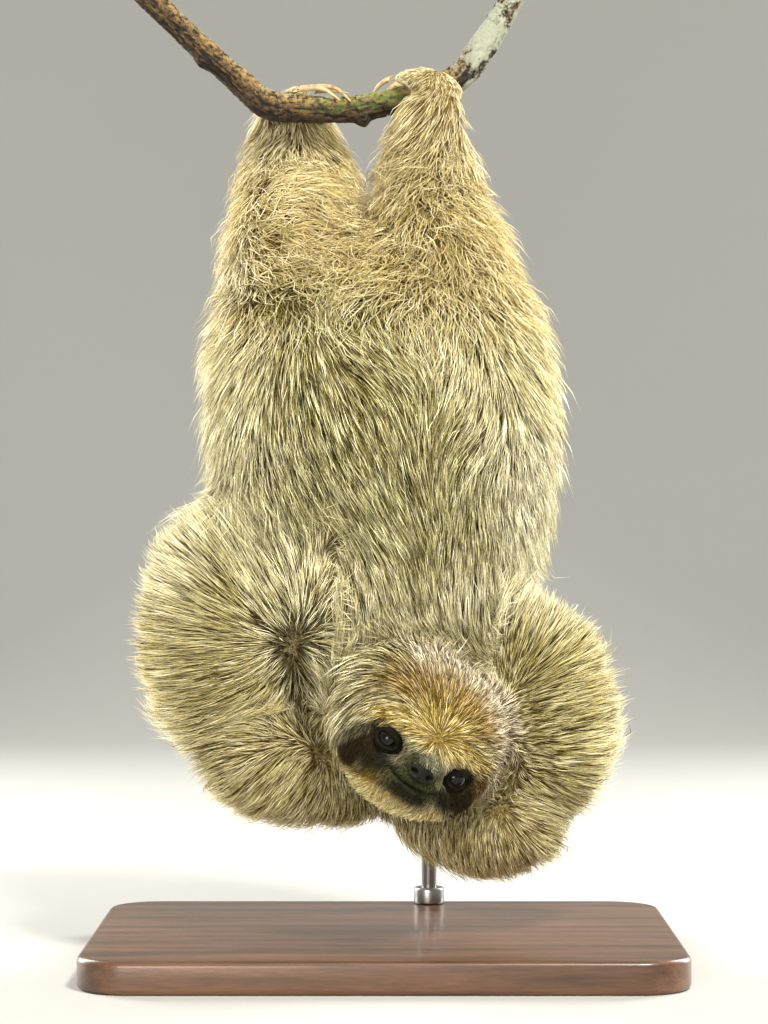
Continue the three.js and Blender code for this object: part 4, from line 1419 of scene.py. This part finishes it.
def bark_material():
    material, nodes, links, shader = begin_material("branch_bark", tone(110, 84, 56), 0.9)
    place = nodes.new("ShaderNodeTexCoord").outputs["Object"]
    own = nodes.new("ShaderNodeSeparateXYZ")
    links.new(attribute_node(nodes, "bark").outputs["Vector"], own.inputs[0])
    grain = noise_at(nodes, links, place, 380.0, 8.0, 0.7)
    blotch = noise_at(nodes, links, place, 95.0, 5.0, 0.65)
    tufts = noise_at(nodes, links, place, 240.0, 6.0, 0.7)
    at = nodes.new("ShaderNodeSeparateXYZ")
    links.new(place, at.inputs[0])
    height, upwards, from_cut = own.outputs
    along = at.outputs[0]

    def both(*masks):
        """The product of masks."""
        last = masks[0]
        for mask in masks[1:]:
            node = nodes.new("ShaderNodeMath")
            node.operation = "MULTIPLY"
            links.new(last, node.inputs[0])
            links.new(mask, node.inputs[1])
            last = node.outputs[0]
        return last

    def within(source, low, high):
        return ranged(nodes, links, source, 0.0, 1.0, low, high)

    colour = ramp_of(nodes, links, grain, [(0.38, tone(26, 17, 8)), (0.66, tone(124, 96, 56))])
    # Darker the deeper the bark lies and on the branch's underside: painted shade.
    crack_shade = ranged(nodes, links, height, 0.96, 0.0, -0.7, 0.0)
    shade_underneath = ranged(nodes, links, upwards, 0.0, 0.72, 0.0, -0.8)
    lit_band = both(ranged(nodes, links, upwards, 0.0, 0.62, 0.05, 0.5), within(grain, 0.44, 0.56))
    lichen = both(within(upwards, 0.45, 0.95), within(blotch, 0.46, 0.56))
    lichen_end = both(within(along, 0.030, 0.046), within(blotch, 0.42, 0.50))
    moss_ends = both(within(along, -0.045, -0.012), ranged(nodes, links, along, 1.0, 0.0, 0.010, 0.034))
    moss_side = ranged(nodes, links, upwards, 0.0, 0.9, -0.5, 0.3)
    moss = both(moss_ends, moss_side, within(tufts, 0.42, 0.56))
    cut = ranged(nodes, links, from_cut, 1.0, 0.0, -0.9, -0.2)
    for mask, over_it in (
        (crack_shade, tone(16, 10, 5)), (shade_underneath, tone(22, 15, 8)), (lit_band, tone(168, 138, 84)),
        (lichen, tone(158, 160, 124)), (lichen_end, tone(150, 152, 134)), (moss, tone(92, 110, 48)),
        (cut, tone(196, 168, 124)),
    ):
        colour = laid_over(nodes, links, colour, over_it, mask)
    links.new(colour, shader.inputs["Base Color"])
    add_relief(material, grain, 0.7, 0.5 * mm)
    return material


branch.data.materials.append(bark_material())
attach(branch, "root")
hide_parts("perch_branch")

# ---------------------------------------------------------------------------------------------
# Stand. A slab of dark varnished hardwood with rounded corners and a moulded edge. A steel rod is
# let into it and carries a thinner level arm, clamped by a turned collar, that meets the branch.
# ---------------------------------------------------------------------------------------------


def wood_material():
    material, nodes, links, shader = begin_material("stand_wood", tone(84, 56, 36), 0.35)
    place = nodes.new("ShaderNodeTexCoord").outputs["Object"]
    stretch = nodes.new("ShaderNodeMapping")
    stretch.inputs["Scale"].default_value = (3.0, 34.0, 34.0)
    links.new(place, stretch.inputs["Vector"])
    figure = noise_at(nodes, links, stretch.outputs[0], 2.2, 6.0, 0.55)
    pores = noise_at(nodes, links, stretch.outputs[0], 32.0, 4.0, 0.7)
    grain = ramp_of(nodes, links, figure, [(0.32, tone(58, 36, 22)), (0.68, tone(118, 80, 52))])
    shade = nodes.new("ShaderNodeHueSaturation")
    links.new(grain, shade.inputs["Color"])
    links.new(ranged(nodes, links, pores, 0.72, 1.15, 0.3, 0.65), shade.inputs["Value"])
    links.new(shade.outputs["Color"], shader.inputs["Base Color"])
    links.new(ranged(nodes, links, pores, 0.46, 0.3), shader.inputs["Roughness"])
    shader.inputs["Coat Weight"].default_value = 0.35
    shader.inputs["Coat Roughness"].default_value = 0.18
    add_relief(material, pores, 0.18, 0.1 * mm)
    return material


def steel_material():
    material, nodes, links, shader = begin_material("stand_steel", tone(150, 150, 150), 0.34, metallic=1.0)
    place = nodes.new("ShaderNodeTexCoord").outputs["Object"]
    stretch = nodes.new("ShaderNodeMapping")
    stretch.inputs["Scale"].default_value = (900.0, 900.0, 14.0)
    links.new(place, stretch.inputs["Vector"])
    lines = noise_at(nodes, links, stretch.outputs[0], 1.0, 3.0, 0.6)
    links.new(ranged(nodes, links, lines, 0.24, 0.46), shader.inputs["Roughness"])
    return material


base_low, base_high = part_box("stand_base")
base_size = base_high - base_low
clear_selection()
bpy.ops.mesh.primitive_cube_add(size=1)
slab = bpy.context.object
slab.name = "stand_slab"
bpy.ops.object.mode_set(mode="EDIT")
bpy.ops.transform.resize(value=tuple(base_size))
bpy.ops.transform.translate(value=(0, 0, base_size.z / 2))
bpy.ops.mesh.select_all(action="DESELECT")
bpy.ops.object.mode_set(mode="OBJECT")
for edge in slab.data.edges:  # the four upright ones
    first, second = (slab.data.vertices[i].co.z for i in edge.vertices)
    edge.select = abs(first - second) > 1 * mm
bpy.ops.object.mode_set(mode="EDIT")
bpy.ops.mesh.select_mode(type="EDGE")
bpy.ops.mesh.bevel(offset=26 * mm, segments=14, affect="EDGES")
bpy.ops.object.mode_set(mode="OBJECT")
apply_modifier(slab, "BEVEL", width=2.8 * mm, segments=5, limit_method="ANGLE", angle_limit=math.radians(50))
pick(slab)
bpy.ops.object.shade_smooth_by_angle(angle=math.radians(35))
slab.data.materials.append(wood_material())
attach(slab, "root")
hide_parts("stand_base")

steel_finish = steel_material()


def turned_rod(name, start, stop, radius, chamfer):
    """A round steel bar between two points, with its ends chamfered."""
    start, stop = Vector(start), Vector(stop)
    clear_selection()
    bpy.ops.mesh.primitive_cylinder_add(vertices=48, radius=radius, depth=(stop - start).length)
    bar = bpy.context.object
    bar.name = name
    apply_modifier(bar, "BEVEL", width=chamfer, segments=3, limit_method="ANGLE",
                   angle_limit=math.radians(50))
    turn = (stop - start).to_track_quat("Z", "Y").to_matrix().to_4x4()
    bar.data.transform(Matrix.Translation((start + stop) / 2) @ turn)
    pick(bar)
    bpy.ops.object.shade_smooth_by_angle(angle=math.radians(40))
    bar.data.materials.append(steel_finish)
    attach(bar, "root")
    return bar


rod_low, rod_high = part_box("stand_upright")
rod_x, rod_y = (rod_low.x + rod_high.x) / 2, (rod_low.y + rod_high.y) / 2
rod = turned_rod("stand_rod", (rod_x, rod_y, rod_low.z), (rod_x, rod_y, rod_high.z), 4 * mm, 0.8 * mm)
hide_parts("stand_upright")
arm_low, arm_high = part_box("stand_arm")
arm_z = (arm_low.z + arm_high.z) / 2
arm_ends = (rod_x, arm_low.y, arm_z), (rod_x, arm_high.y + 2 * mm, arm_z)
level_arm = turned_rod("stand_level_arm", *arm_ends, 3.2 * mm, 0.6 * mm)
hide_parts("stand_arm")
for name, low, high, radius, chamfer in (
    ("stand_foot_collar", 16 * mm, 25 * mm, 8 * mm, 1.2 * mm),
    ("stand_head_collar", arm_z - 6 * mm, arm_z + 6 * mm, 6.2 * mm, 1 * mm),
):
    turned_rod(name, (rod_x, rod_y, low), (rod_x, rod_y, high), radius, chamfer)
